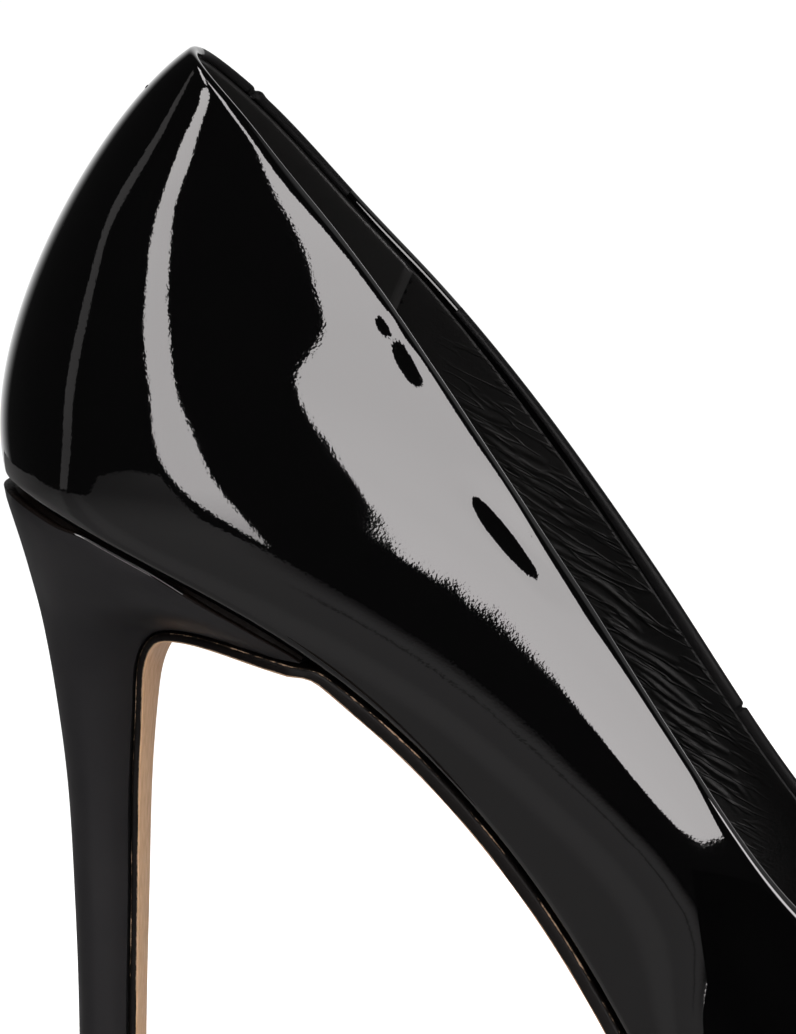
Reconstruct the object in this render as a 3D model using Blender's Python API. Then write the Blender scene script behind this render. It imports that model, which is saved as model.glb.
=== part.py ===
"""Stiletto pump, right shoe: a hollow upper on a curved last, with insole, sole, heel and top lift.

The toe points along +X, the lateral side is at -Y and the floor is z = 0. The tables are in
millimetres and the meshes in metres. A bottom curve is integrated from its slopes, an outline is laid
along it, and each wall line of the upper is a Bezier from that outline to the collar or the vamp ridge.
"""

import math
from collections import namedtuple

import bmesh
import bpy
import numpy as np

for item in list(bpy.data.objects):
    bpy.data.objects.remove(item, do_unlink=True)

MM = 0.001
WALL = 1.6  # thickness of the upper
GAP = 0.3  # clearance between neighbouring pieces
SOLE_LENGTH = 264.0  # along the bottom from the back of the heel to the toe
TREAD = 183.0  # distance along the bottom to the spot that stands on the floor
SOLE_FOREPART = 2.5  # thickness of the sole under the forefoot
SOLE_WAIST = 2.0  # and under the arch
SOLE_WING = 1.6  # and under the tips of the heel's wings
SOLE_FLAP = 1.2  # and down the heel breast
SOLE_INSET = 0.4  # how far the sole's edge stands inside the edge of the upper
FLAT = 0.06  # the sole is level where it comes this near to the floor
INSOLE = 1.8
WING = 47.0  # distance along the bottom to the tips of the heel's wings
TIP_HEIGHT = 5.5  # height of the top lift
CENTRE = (110.33, 1.46, 0.0)  # the point of the tables that becomes the origin

UPPER_LINES = 4  # wall lines between two rows of the table
UPPER_LEVELS = 10  # faces from the sole to the collar
HEEL_STEPS = 3  # levels of the heel between two rows of its table
HEEL_SIDE = 11  # points from its back to its breast

# Downward slope of the bottom in degrees against the distance along it.
Slope = namedtuple("Slope", "s degrees")
SLOPES = [
    Slope(0, 20), Slope(12, 24.5), Slope(26, 26), Slope(40, 29.5), Slope(52, 36), Slope(64, 42.5),
    Slope(78, 49), Slope(92, 54.5), Slope(106, 59), Slope(119, 59.5), Slope(133, 52), Slope(148, 33),
    Slope(162, 13), Slope(174, 2), Slope(186, 0), Slope(200, -0.4), Slope(230, -2.4), Slope(264, -4.5),
]

# Outline of the bottom: distance along it, then the lateral and medial half widths.
# Crown: where the wall line from there ends, its x, then its height and y on each side. Behind the
# throat it lies above the collar, which is cut from the wall; from there on it is the ridge of the vamp.
# Wall: bow at the sole and roll at the crown in degrees off the straight line between them,
# the reach of the two curve handles, and how far the end turns over towards the other side.
Row = namedtuple("Row", "s lat med x z_lat z_med y_lat y_med bow roll low high over")
ROWS = [
    Row(0, 0, 0, 28.6, 165.0, 165.0, 0, 0, 40, 52, 0.33, 0.17, 0),
    Row(3, 11.8, 11.8, 30.6, 163.5, 163.4, -6.8, 6.6, 39, 46, 0.33, 0.19, 0),
    Row(10, 20.4, 20.2, 36.2, 157.9, 157.2, -12.4, 12.0, 36, 34, 0.33, 0.24, 0),
    Row(22, 25.4, 25.0, 45.9, 146.6, 145.8, -17.5, 16.7, 31, 24, 0.33, 0.30, 0),
    Row(36, 26.4, 25.2, 56.1, 133.6, 134.4, -20.3, 19.0, 27, 20, 0.33, 0.33, 0),
    Row(52, 25.3, 23.0, 68.7, 115.7, 118.9, -21.6, 19.8, 24.5, 21, 0.33, 0.33, 0),
    Row(70, 23.2, 20.2, 83.7, 94.2, 98.8, -22.2, 19.9, 23.5, 25, 0.33, 0.33, 0.02),
    Row(90, 21.6, 18.4, 98.0, 74.2, 79.6, -21.4, 18.8, 24, 28, 0.33, 0.34, 0.10),
    Row(111, 21.2, 19.2, 109.2, 62.6, 67.4, -17.2, 15.4, 27, 31, 0.34, 0.35, 0.30),
    Row(132, 24.2, 23.6, 117.4, 57.4, 59.6, -8.6, 9.6, 32, 34, 0.37, 0.36, 0.62),
    Row(151, 30.0, 30.2, 125.4, 51.4, 51.8, -0.4, 4.4, 39, 37, 0.40, 0.38, 0.90),
    Row(163, 34.2, 35.2, 133.2, 45.2, 45.2, 2.5, 2.5, 44, 39, 0.42, 0.39, 1),
    Row(173, 36.4, 38.0, 141.6, 40.2, 40.2, 3.0, 3.0, 48, 40, 0.44, 0.40, 1),
    Row(187, 34.8, 39.4, 154.0, 35.6, 35.6, 3.6, 3.6, 50, 42, 0.45, 0.41, 1),
    Row(203, 29.0, 36.4, 169.5, 30.4, 30.4, 4.6, 4.6, 51, 43, 0.45, 0.42, 1),
    Row(219, 20.8, 30.4, 186.0, 24.8, 24.8, 5.6, 5.6, 51, 43, 0.45, 0.42, 1),
    Row(235, 11.6, 23.6, 200.5, 19.4, 19.4, 6.4, 6.4, 50, 42, 0.44, 0.42, 1),
    Row(249.5, 2.8, 16.8, 210.5, 15.6, 15.6, 7.0, 7.0, 48, 40, 0.43, 0.42, 1),
    Row(259.5, -3.0, 12.0, 210.5, 15.6, 15.6, 7.0, 7.0, 45, 36, 0.42, 0.42, 1),
    Row(264, -7.4, 7.4, 210.5, 15.6, 15.6, 7.0, 7.0, 43, 34, 0.42, 0.42, 1),
]
THROAT = 12  # the row where the collar crosses the vamp
POLE = 17  # the row from which the wall lines gather on one point above the toe

# Collar seen from the side: x, then its height on the lateral and on the medial side.
Collar = namedtuple("Collar", "x z_lat z_med")
COLLAR = [
    Collar(18, 171.0, 171.0), Collar(26.2, 162.9, 162.9), Collar(34.4, 155.2, 154.7),
    Collar(44.4, 143.8, 143.1), Collar(54.6, 131.1, 131.9), Collar(67, 113.3, 116.5),
    Collar(81.6, 91.9, 96.5), Collar(95.6, 70.6, 76.1), Collar(107.6, 53.9, 60.1),
    Collar(117, 46.0, 50.4), Collar(126, 41.9, 44.2), Collar(134, 40.4, 41.2), Collar(141.6, 40.2, 40.2),
]

# Heel: back edge x and z, breast x and z, then the half widths at the widest point and at the breast.
Level = namedtuple("Level", "back_x back_z breast_x breast_z wide breast")
LEVELS = [
    Level(-0.3, 104.9, 42.3, 83.8, 25.6, 24.6),
    Level(0.5, 102.4, 37.4, 84.9, 24.2, 22.4),
    Level(1.9, 98.2, 31.6, 86.1, 21.6, 18.8),
    Level(3.3, 93.4, 25.4, 86.7, 18.0, 14.0),
    Level(4.6, 88.0, 20.9, 85.7, 14.0, 10.4),
    Level(5.7, 81.9, 18.5, 82.0, 10.7, 7.8),
    Level(6.6, 75.8, 17.7, 76.6, 8.6, 5.9),
    Level(7.9, 65.1, 17.0, 65.6, 6.8, 4.8),
    Level(8.7, 51.5, 16.7, 51.7, 5.7, 4.2),
    Level(9.2, 38.0, 16.4, 38.0, 5.1, 3.8),
    Level(9.4, 22.0, 16.2, 22.0, 4.7, 3.7),
    Level(9.5, TIP_HEIGHT, 16.2, TIP_HEIGHT, 4.6, 3.7),
]


def spline(knots, values, at, period=None):
    """Cubic through the values with continuous curvature; with a period its ends join smoothly."""
    x = np.asarray(knots, float)
    y = np.asarray(values, float)
    at = np.asarray(at, float)
    if period:
        x = np.append(x, x[0] + period)
        y = np.append(y, y[0])
        at = x[0] + np.mod(at - x[0], period)
    count = len(x)
    h = np.diff(x)
    rise = np.diff(y) / h
    system = np.zeros((count, count))
    right = np.zeros(count)
    for i in range(1, count - 1):
        system[i, i - 1 : i + 2] = h[i - 1], 2 * (h[i - 1] + h[i]), h[i]
        right[i] = 6 * (rise[i] - rise[i - 1])
    if period:
        system[0, [0, 1, -2]] = 2 * (h[0] + h[-1]), h[0], h[-1]
        right[0] = 6 * (rise[0] - rise[-1])
        system[-1, [0, -1]] = 1, -1
    else:
        system[0, 0] = system[-1, -1] = 1
    bend = np.linalg.solve(system, right)
    i = np.clip(np.searchsorted(x, at, side="right") - 1, 0, count - 2)
    a = (x[i + 1] - at) / h[i]
    b = (at - x[i]) / h[i]
    return a * y[i] + b * y[i + 1] + ((a**3 - a) * bend[i] + (b**3 - b) * bend[i + 1]) * h[i] ** 2 / 6


def column(rows, name):
    return np.array([getattr(row, name) for row in rows], float)


def unit(v):
    return v / np.maximum(np.linalg.norm(v, axis=-1, keepdims=True), 1e-9)


def smooth(x):
    x = np.clip(x, 0, 1)
    return x * x * (3 - 2 * x)


FINE = np.linspace(0, SOLE_LENGTH, 1057)
FINE_SLOPE = np.radians(spline(column(SLOPES, "s"), column(SLOPES, "degrees"), FINE))
STEP = FINE[1] - FINE[0]
MID_SLOPE = (FINE_SLOPE[1:] + FINE_SLOPE[:-1]) / 2
FINE_X = np.concatenate([[0], np.cumsum(np.cos(MID_SLOPE) * STEP)])
FINE_Z = np.concatenate([[0], np.cumsum(-np.sin(MID_SLOPE) * STEP)])
FINE_Z += GAP + SOLE_FOREPART - np.interp(TREAD, FINE, FINE_Z)


def bottom(s, y=0.0, rise=0.0):
    """Point on the bottom of the last, lifted square to it by rise."""
    slope = np.interp(s, FINE, FINE_SLOPE)
    x = np.interp(s, FINE, FINE_X) + rise * np.sin(slope)
    z = np.interp(s, FINE, FINE_Z) + rise * np.cos(slope)
    return np.stack([x, np.broadcast_to(y, x.shape), z], -1)


# The loop runs from the toe along the lateral side to the heel and back along the medial side.
LAT = np.stack([column(ROWS, "s"), -column(ROWS, "lat")], 1)
MED = np.stack([column(ROWS, "s"), column(ROWS, "med")], 1)
CHORDS = (np.linalg.norm(np.diff(LAT, axis=0), axis=1) + np.linalg.norm(np.diff(MED, axis=0), axis=1)) / 2
TAU = np.concatenate([[0], np.cumsum(CHORDS)])


def loop_spline(lateral, medial, at, last):
    """A closed curve through the rows up to number last, lateral side at negative values of at."""
    knots = np.concatenate([-TAU[last:0:-1], TAU[:last]])
    values = np.concatenate([lateral[last:0:-1], medial[:last]])
    return spline(knots, values, at, 2 * TAU[last])


def outline(at):
    """(distance along the bottom, y) of the edge of the bottom."""
    last = len(ROWS) - 1
    s = loop_spline(LAT[:, 0], MED[:, 0], at, last)
    y = loop_spline(LAT[:, 1], MED[:, 1], at, last)
    return np.clip(s, 0, SOLE_LENGTH), y


def crown(at):
    """Far end of each wall line."""
    place = np.abs(at)
    ends = []
    for lateral, medial in (("x", "x"), ("y_lat", "y_med"), ("z_lat", "z_med")):
        rows = ROWS[: POLE + 1]
        knots = np.concatenate([-TAU[POLE:0:-1], TAU[: POLE + 1]])
        values = np.concatenate([column(rows, lateral)[POLE:0:-1], column(rows, medial)])
        ends.append(spline(knots, values, np.clip(at, -TAU[POLE], TAU[POLE])))
    # Past the throat both sides share one ridge.
    ridge = [spline(TAU[THROAT - 1 : POLE + 1], column(ROWS, name)[THROAT - 1 : POLE + 1],
                    np.clip(place, TAU[THROAT - 1], TAU[POLE])) for name in ("x", "y_med", "z_med")]
    share = smooth((place - TAU[THROAT - 1]) / (TAU[THROAT] - TAU[THROAT - 1]))[:, None]
    return (1 - share) * np.stack(ends, 1) + share * np.stack(ridge, 1)


def cut_share(lines, at):
    """How far along each wall line the collar crosses it, 1 where it doesn't."""
    share = np.ones(len(at))
    steps = np.linspace(0, 1, lines.shape[1])
    for i, (line, place) in enumerate(zip(lines, at)):
        if abs(place) >= TAU[THROAT] - 1e-6:
            continue
        name = "z_lat" if place < 0 else "z_med"
        above = line[:, 2] - spline(column(COLLAR, "x"), column(COLLAR, name), line[:, 0])
        over = np.nonzero((above[1:] > 0) & (above[:-1] <= 0))[0]
        if len(over):
            k = over[0]
            share[i] = steps[k] + (steps[k + 1] - steps[k]) * -above[k] / (above[k + 1] - above[k])
    return share


def wall_lines(at, levels):
    """Outer surface of the upper: an array of wall lines by levels by xyz."""
    s, y = outline(at)
    foot = bottom(s, y)
    top = crown(at)
    slope = np.interp(s, FINE, FINE_SLOPE)
    ahead = np.stack(outline(at + 0.05), 1) - np.stack(outline(at - 0.05), 1)
    ahead = unit(ahead)
    # Square to the outline, inside the plane of the bottom.
    out = np.stack([ahead[:, 1] * np.cos(slope), -ahead[:, 0], -ahead[:, 1] * np.sin(slope)], 1)
    out *= -np.sign((out * (bottom(np.clip(s, 14, 250), 0.028 * s) - foot)).sum(1, keepdims=True))
    reach = np.linalg.norm(top - foot, axis=1, keepdims=True)
    chord = (top - foot) / reach
    out = unit(out - chord * (out * chord).sum(1, keepdims=True))
    columns = {}
    for name in ("bow", "roll", "low", "high", "over"):
        values = column(ROWS, name)
        columns[name] = loop_spline(values, values, at, len(ROWS) - 1)[:, None]
    bow = np.radians(columns["bow"])
    roll = np.radians(columns["roll"])
    start = np.cos(bow) * chord + np.sin(bow) * out
    end = np.cos(roll) * chord - np.sin(roll) * out
    # On the vamp the wall lines cross the ridge level; above the toe they fan round its last point.
    fan = np.clip((np.abs(at) - TAU[POLE]) / (TAU[-1] - TAU[POLE]), 0, 1)
    turn = np.where(fan > 0, np.pi / 2 * fan, 0.0)
    side = np.where(at < 0, 1.0, -1.0)
    fall = math.radians(20)
    cross = np.stack([-np.sin(turn) * np.cos(fall), side * np.cos(turn), np.sin(turn) * np.sin(fall)], 1)
    over = np.clip(columns["over"], 0, 1)
    end = unit((1 - over) * end + over * cross)
    p0, p3 = foot[:, None], top[:, None]
    p1 = p0 + (columns["low"] * reach * start)[:, None]
    p2 = p3 - (columns["high"] * reach * end)[:, None]

    def run(t):
        return (1 - t) ** 3 * p0 + 3 * t * (1 - t) ** 2 * p1 + 3 * t**2 * (1 - t) * p2 + t**3 * p3

    share = cut_share(run(np.linspace(0, 1, 241)[None, :, None]), at)
    return run(np.linspace(0, 1, levels + 1)[None, :, None] * share[:, None, None])


def side_samples(steps):
    """Values along one side with the same count between each two rows, and closer ones at the throat."""
    parts = []
    for i, (low, high) in enumerate(zip(TAU, TAU[1:])):
        share = np.linspace(0, 1, steps, endpoint=False)
        if i == THROAT - 1:
            share = 1 - (1 - np.linspace(0, 1, 2 * steps, endpoint=False)) ** 2
        parts.append(low + (high - low) * share)
    return np.concatenate(parts + [[TAU[-1]]])


def material(name, colour, roughness, coat=0.0):
    made = bpy.data.materials.new(name)
    made.use_nodes = True
    shader = made.node_tree.nodes["Principled BSDF"]
    shader.inputs["Base Color"].default_value = (*colour, 1)
    shader.inputs["Roughness"].default_value = roughness
    shader.inputs["Coat Weight"].default_value = coat
    return made


def welded(points, faces):
    """Joins points that are in the same place and drops faces that this closes up."""
    keys = {}
    index = []
    kept = []
    for point in points:
        key = tuple(np.round(point, 3))
        if key not in keys:
            keys[key] = len(kept)
            kept.append(point)
        index.append(keys[key])
    tidy = []
    for face in faces:
        corners = []
        for corner in face:
            if index[corner] not in corners:
                corners.append(index[corner])
        if len(corners) > 2:
            tidy.append(corners)
    return np.array(kept), tidy


def add_object(name, points, faces, look):
    points, faces = welded(np.asarray(points, float), faces)
    points = (points - CENTRE) * MM
    mesh = bpy.data.meshes.new(name)
    mesh.from_pydata([tuple(p) for p in points], [], faces)
    shell = bmesh.new()
    shell.from_mesh(mesh)
    bmesh.ops.recalc_face_normals(shell, faces=shell.faces)
    shell.to_mesh(mesh)
    shell.free()
    mesh.materials.append(look)
    made = bpy.data.objects.new(name, mesh)
    bpy.context.scene.collection.objects.link(made)
    return made


def vertex_normals(points, faces):
    """Area-weighted normals at the points."""
    total = np.zeros_like(points)
    for face in faces:
        p = points[list(face)]
        normal = np.zeros(3)
        for i in range(1, len(face) - 1):
            normal += np.cross(p[i] - p[0], p[i + 1] - p[0])
        for corner in face:
            total[corner] += normal
    return unit(total)


def sheet_solid(points, faces, depth):
    """Closes a sheet into a wall of one depth behind its outer side, with strips along its open edges."""
    points, faces = welded(points, faces)
    inner = points - vertex_normals(points, faces) * depth
    count = len(points)
    edges = {}
    for face in faces:
        for a, b in zip(face, face[1:] + face[:1]):
            edges[(a, b)] = True
    strips = [[b, a, a + count, b + count] for a, b in edges if (b, a) not in edges]
    backs = [[corner + count for corner in reversed(face)] for face in faces]
    return np.concatenate([points, inner]), faces + backs + strips


def grid_faces(rows, columns, closed=False):
    wide = columns if closed else columns - 1
    faces = []
    for i in range(rows - 1):
        for j in range(wide):
            k = (j + 1) % columns
            faces.append([i * columns + j, i * columns + k, (i + 1) * columns + k, (i + 1) * columns + j])
    return faces


def build_upper():
    one_side = side_samples(UPPER_LINES)
    at = np.concatenate([-one_side[::-1], one_side[1:]])
    lines = wall_lines(at, UPPER_LEVELS)
    faces = grid_faces(len(at), UPPER_LEVELS + 1)
    points, faces = sheet_solid(lines.reshape(-1, 3), faces, WALL)
    look = material("patent_black", (0.006, 0.006, 0.007), 0.08, 1.0)
    return add_object("upper", points, faces, look)


def inset_outline(at, inset):
    """The edge of the bottom moved inwards by inset, as (distance along the bottom, y)."""
    s, y = outline(at)
    ahead = unit(np.stack(outline(at + 0.05), 1) - np.stack(outline(at - 0.05), 1))
    return s - ahead[:, 1] * inset, y + ahead[:, 0] * inset


def edge_pair(at, inset, rise):
    """Lateral and medial edge points at the same places along the bottom."""
    pair = []
    for sign in (-1, 1):
        s, y = inset_outline(sign * at, -inset)
        pair.append(bottom(s, y, rise))
    return pair


def place_at(s):
    """Loop value where the outline has the distance s along the bottom."""
    at = np.linspace(0, TAU[-1], 4001)
    return np.interp(s, np.maximum.accumulate(outline(at)[0]), at)


def slab(name, left, right, low_left, low_right, look):
    """Solid between a left and a right edge, and the same edges moved through its thickness."""
    count = len(left)
    loops = np.stack([left, right, low_right, low_left], 1)
    faces = grid_faces(count, 4, closed=True)
    faces += [[0, 1, 2, 3], [4 * (count - 1) + k for k in (3, 2, 1, 0)]]
    return add_object(name, loops.reshape(-1, 3), faces, look)


def heel_levels():
    """The table of the heel made fine: a column per name, and the share of the way down."""
    breast = np.stack([column(LEVELS, "breast_x"), column(LEVELS, "breast_z")], 1)
    knots = np.concatenate([[0], np.cumsum(np.linalg.norm(np.diff(breast, axis=0), axis=1) ** 0.7)])
    steps = [np.linspace(a, b, HEEL_STEPS, endpoint=False) for a, b in zip(knots, knots[1:])]
    at = np.append(np.concatenate(steps), knots[-1])
    fine = {name: spline(knots, column(LEVELS, name), at) for name in Level._fields}
    return fine, at / knots[-1]


def heel_ring(line, lateral, medial):
    """Points round one level of the heel, from the lateral end of the breast to the medial end."""
    one = np.stack([line[:, 0], -lateral, line[:, 1]], 1)
    two = np.stack([line[:, 0], medial, line[:, 1]], 1)
    return np.concatenate([one[::-1], two[1:]])


def build_heel():
    fine, way = heel_levels()
    p = np.linspace(0, 1, HEEL_SIDE) ** 2
    at = place_at(p * WING)
    rings = []
    for inset, rise in ((1.0, -GAP), (0.2, -GAP - 0.7)):
        lateral, medial = edge_pair(at, inset, rise)
        rings.append(heel_ring(lateral[:, [0, 2]], -lateral[:, 1], medial[:, 1]))
    lateral, medial = edge_pair(at, 0.0, 0.0)
    seat = [-lateral[:, 1] / -lateral[:, 1].min(), medial[:, 1] / medial[:, 1].max()]
    stem = np.where(p < 0.5, np.sqrt(np.clip(1 - (1 - p / 0.5) ** 2, 0, 1)), 1.0)
    tail = np.clip((p - 0.5) / 0.5, 0, 1)
    for i in range(len(way)):
        x = fine["back_x"][i] + (fine["breast_x"][i] - fine["back_x"][i]) * p
        z = fine["back_z"][i] + (fine["breast_z"][i] - fine["back_z"][i]) * p
        sag = (1 - smooth(way[i] / 0.3)) * np.sin(np.pi * p)
        line = np.stack([x, z + 0.9 * sag], 1)
        ease = smooth(way[i] / 0.4)
        narrow = fine["breast"][i] / fine["wide"][i]
        sides = []
        for shape in seat:
            share = (1 - ease) * shape + ease * stem
            share = share * (1 - tail**2 + tail**2 * narrow / share[-1])
            sides.append(share * fine["wide"][i])
        rings.append(heel_ring(line, *sides))
    ring = 2 * HEEL_SIDE - 1
    rings = np.array(rings)
    faces = grid_faces(len(rings), ring)
    last = (len(rings) - 1) * ring
    for k in range(HEEL_SIDE - 1):
        a, b = k, ring - 1 - k
        faces.append([a, a + 1, b - 1, b])
        faces.append([last + b, last + b - 1, last + a + 1, last + a])
    for i in range(len(rings) - 1):
        a, b = i * ring, (i + 1) * ring
        faces.append([a, a + ring - 1, b + ring - 1, b])
    look = material("heel_black", (0.008, 0.008, 0.009), 0.15, 1.0)
    return add_object("heel", rings.reshape(-1, 3), faces, look)


def build_outsole():
    look = material("sole_leather", (0.36, 0.25, 0.16), 0.45)
    at = side_samples(UPPER_LINES)[::-1]
    at = at[at > place_at(WING + 3.0)]
    s = outline(at)[0]
    drop = GAP + 1.5 * smooth((WING + 8 - s) / 6)
    thick = SOLE_WAIST + (SOLE_FOREPART - SOLE_WAIST) * smooth((s - 110) / 45)
    thick -= (SOLE_WAIST - SOLE_WING) * smooth((WING + 14 - s) / 12)
    left, right = edge_pair(at, SOLE_INSET, -drop)
    low_left, low_right = edge_pair(at, SOLE_INSET, -drop - thick)
    fine, way = heel_levels()
    breast = np.stack([fine["breast_x"], 0 * way, fine["breast_z"]], 1)
    ahead = unit(np.gradient(breast, axis=0))
    away = np.stack([-ahead[:, 2], 0 * way, ahead[:, 0]], 1)
    flap = SOLE_FLAP + (SOLE_WING - SOLE_FLAP) * (1 - smooth(way / 0.35))
    across = np.stack([0 * way, fine["breast"], 0 * way], 1)
    near = breast + away * GAP
    far = near + away * flap[:, None]
    left = np.concatenate([left, near - across])
    right = np.concatenate([right, near + across])
    low_left = np.concatenate([low_left, far - across])
    low_right = np.concatenate([low_right, far + across])
    for edge in (low_left, low_right):
        edge[:, 2] = np.where(edge[:, 2] < FLAT, 0.0, edge[:, 2])
    return slab("outsole", left, right, low_left, low_right, look)


def build_insole():
    look = material("sock_black", (0.012, 0.012, 0.012), 0.6)
    at = side_samples(UPPER_LINES)
    inset = WALL + GAP
    left, right = edge_pair(at, inset, INSOLE)
    low_left, low_right = edge_pair(at, inset, 0.0)
    return slab("insole", left, right, low_left, low_right, look)


def build_tip():
    fine, _ = heel_levels()
    back, breast = fine["back_x"][-1], fine["breast_x"][-1] + GAP + SOLE_FLAP
    wide = fine["wide"][-1]
    angle = np.linspace(0, np.pi, 15)
    middle = (back + breast) / 2
    arc = np.stack([middle - (middle - back) * np.sin(angle), -wide * np.cos(angle)], 1)
    flat = np.concatenate([[[breast, -wide * 0.96]], arc, [[breast, wide * 0.96]]])
    count = len(flat)
    rings = [np.column_stack([flat, np.full(count, z)]) for z in (TIP_HEIGHT - GAP, 0.0)]
    faces = grid_faces(2, count, closed=True)
    faces += [list(range(count))[::-1], [count + k for k in range(count)]]
    look = material("tip_black", (0.02, 0.02, 0.02), 0.5)
    return add_object("heel_tip", np.concatenate(rings), faces, look)


build_upper()
build_outsole()
build_insole()
build_heel()
build_tip()
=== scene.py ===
# %% [markdown]
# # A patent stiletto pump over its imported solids
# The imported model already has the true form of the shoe: a hollow upper drawn over a curved last, an
# insole, a sole, a high heel and its top lift. This notebook dresses those solids. Each piece is made
# again from the same named sizes, only much finer, so that a mirror-like surface reflects cleanly, and
# then gets what a plain solid leaves out: folded edges, lining, seams, creases, paint and grain.

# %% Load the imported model
import math
from collections import namedtuple

import bmesh
import bpy
import numpy as np
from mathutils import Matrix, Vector
from mathutils.bvhtree import BVHTree


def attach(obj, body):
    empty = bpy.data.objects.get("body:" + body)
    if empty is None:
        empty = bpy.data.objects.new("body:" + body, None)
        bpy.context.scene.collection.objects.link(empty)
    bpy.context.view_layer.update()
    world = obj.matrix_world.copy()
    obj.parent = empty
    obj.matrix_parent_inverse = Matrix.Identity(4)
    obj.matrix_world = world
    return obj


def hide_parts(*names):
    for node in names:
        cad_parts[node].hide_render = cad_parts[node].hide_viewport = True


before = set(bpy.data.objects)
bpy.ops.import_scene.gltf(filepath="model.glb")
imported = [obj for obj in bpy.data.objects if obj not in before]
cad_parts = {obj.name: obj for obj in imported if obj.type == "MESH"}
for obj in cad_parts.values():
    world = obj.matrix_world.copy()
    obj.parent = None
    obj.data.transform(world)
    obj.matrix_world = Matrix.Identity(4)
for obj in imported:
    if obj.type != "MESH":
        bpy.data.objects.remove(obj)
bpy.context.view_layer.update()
SCENE = bpy.context.scene
MM = 0.001
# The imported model's origin, in the millimetres of the last.
CENTRE = np.array((110.33, 1.46, 0.0))
print("packed nodes:", ", ".join(sorted(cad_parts)))

# %% [markdown]
# ## Camera
# A product photographer stands back and uses a long lens, so that the heel and the toe keep their true
# proportions. The camera here does the same: one metre away, a little to the toe side and slightly
# above, with a narrow lens. Its middle is aimed at the quarter, so the toe leaves the picture.

# %% Camera
AIM = Vector((-0.05768, -0.00146, 0.10093))
AZIMUTH = 9.0
ELEVATION = 5.0
DISTANCE = 1.0


def bearing(azimuth, elevation):
    """Unit vector towards a place seen from the shoe: azimuth 0 is in front of its lateral side."""
    a, e = math.radians(azimuth), math.radians(elevation)
    return np.array((math.sin(a) * math.cos(e), -math.cos(a) * math.cos(e), math.sin(e)))


back = Vector(bearing(AZIMUTH, ELEVATION))
camera_data = bpy.data.cameras.new("photo_camera")
camera_data.sensor_fit = "HORIZONTAL"
camera_data.sensor_width = 36.0
camera_data.lens = 340.05
camera_data.clip_start = 0.05
camera = bpy.data.objects.new("photo_camera", camera_data)
camera.location = AIM + DISTANCE * back
camera.rotation_euler = back.to_track_quat("Z", "Y").to_euler()
SCENE.collection.objects.link(camera)
SCENE.camera = camera
SCENE.view_settings.view_transform = "Standard"
print("camera at", [round(v, 3) for v in camera.location])

# %% [markdown]
# ## Shader sums as plain Python
# A finish is a sum of patterns: a bit of noise here, a mask there. Wiring Math nodes by hand hides that
# sum, so one small class stands for a socket. Python's operators on it add the Math nodes, and its one
# method adds any other node.

# %% Wires


class Wire:
    """A socket in a node tree."""

    def __init__(self, tree, socket=None):
        self.tree = tree
        self.socket = socket

    def node(self, kind, settings=None, sockets=None, out=0):
        """Adds a node: first its settings, then the values or links of its sockets."""
        made = self.tree.nodes.new(kind)
        for name, value in (settings or {}).items():
            setattr(made, name, value)
        for name, value in (sockets or {}).items():
            if isinstance(value, Wire):
                self.tree.links.new(value.socket, made.inputs[name])
            else:
                made.inputs[name].default_value = value
        return Wire(self.tree, made.outputs[out])

    def maths(self, operation, first, second=0.0):
        return self.node("ShaderNodeMath", {"operation": operation}, {0: first, 1: second})

    def __add__(self, other):
        return self.maths("ADD", self, other)

    def __radd__(self, other):
        return self.maths("ADD", other, self)

    def __sub__(self, other):
        return self.maths("SUBTRACT", self, other)

    def __rsub__(self, other):
        return self.maths("SUBTRACT", other, self)

    def __mul__(self, other):
        return self.maths("MULTIPLY", self, other)

    def __rmul__(self, other):
        return self.maths("MULTIPLY", other, self)

    def step(self, low, high, start=0.0, end=1.0):
        """Eases from start to end while this value goes from low to high."""
        sockets = {"Value": self, "From Min": low, "From Max": high, "To Min": start, "To Max": end}
        return self.node("ShaderNodeMapRange", {"interpolation_type": "SMOOTHSTEP"}, sockets)

    def between(self, one, two):
        """A colour from one to two as this value goes from 0 to 1."""
        return self.node("ShaderNodeMix", {"data_type": "RGBA"}, {0: self, 6: one, 7: two}, out=2)

    def noise(self, scale, detail=2.0, roughness=0.5):
        sockets = {"Vector": self, "Scale": scale, "Detail": detail, "Roughness": roughness}
        return self.node("ShaderNodeTexNoise", None, sockets)

    def stretched(self, scale, turn=(0.0, 0.0, 0.0)):
        """These coordinates turned and then scaled, for a pattern that runs one way."""
        sockets = {"Vector": self, "Rotation": turn, "Scale": tuple(1 / s for s in scale)}
        return self.node("ShaderNodeMapping", {"vector_type": "TEXTURE"}, sockets)

    def bump(self, height=MM):
        """A normal from this value, which counts in units of the height."""
        return self.node("ShaderNodeBump", None, {"Height": self, "Strength": 1.0, "Distance": height})

    def into(self, shader, name):
        self.tree.links.new(self.socket, shader.inputs[name])


def new_finish(name, **constants):
    """A material, its shader with constant sockets set, and a wire of its object coordinates."""
    made = bpy.data.materials.new(name)
    made.use_nodes = True
    shader = made.node_tree.nodes["Principled BSDF"]
    for socket, value in constants.items():
        shader.inputs[socket.replace("_", " ")].default_value = value
    place = Wire(made.node_tree).node("ShaderNodeTexCoord", out=3)
    return made, shader, place


print("wires ready")
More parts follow.
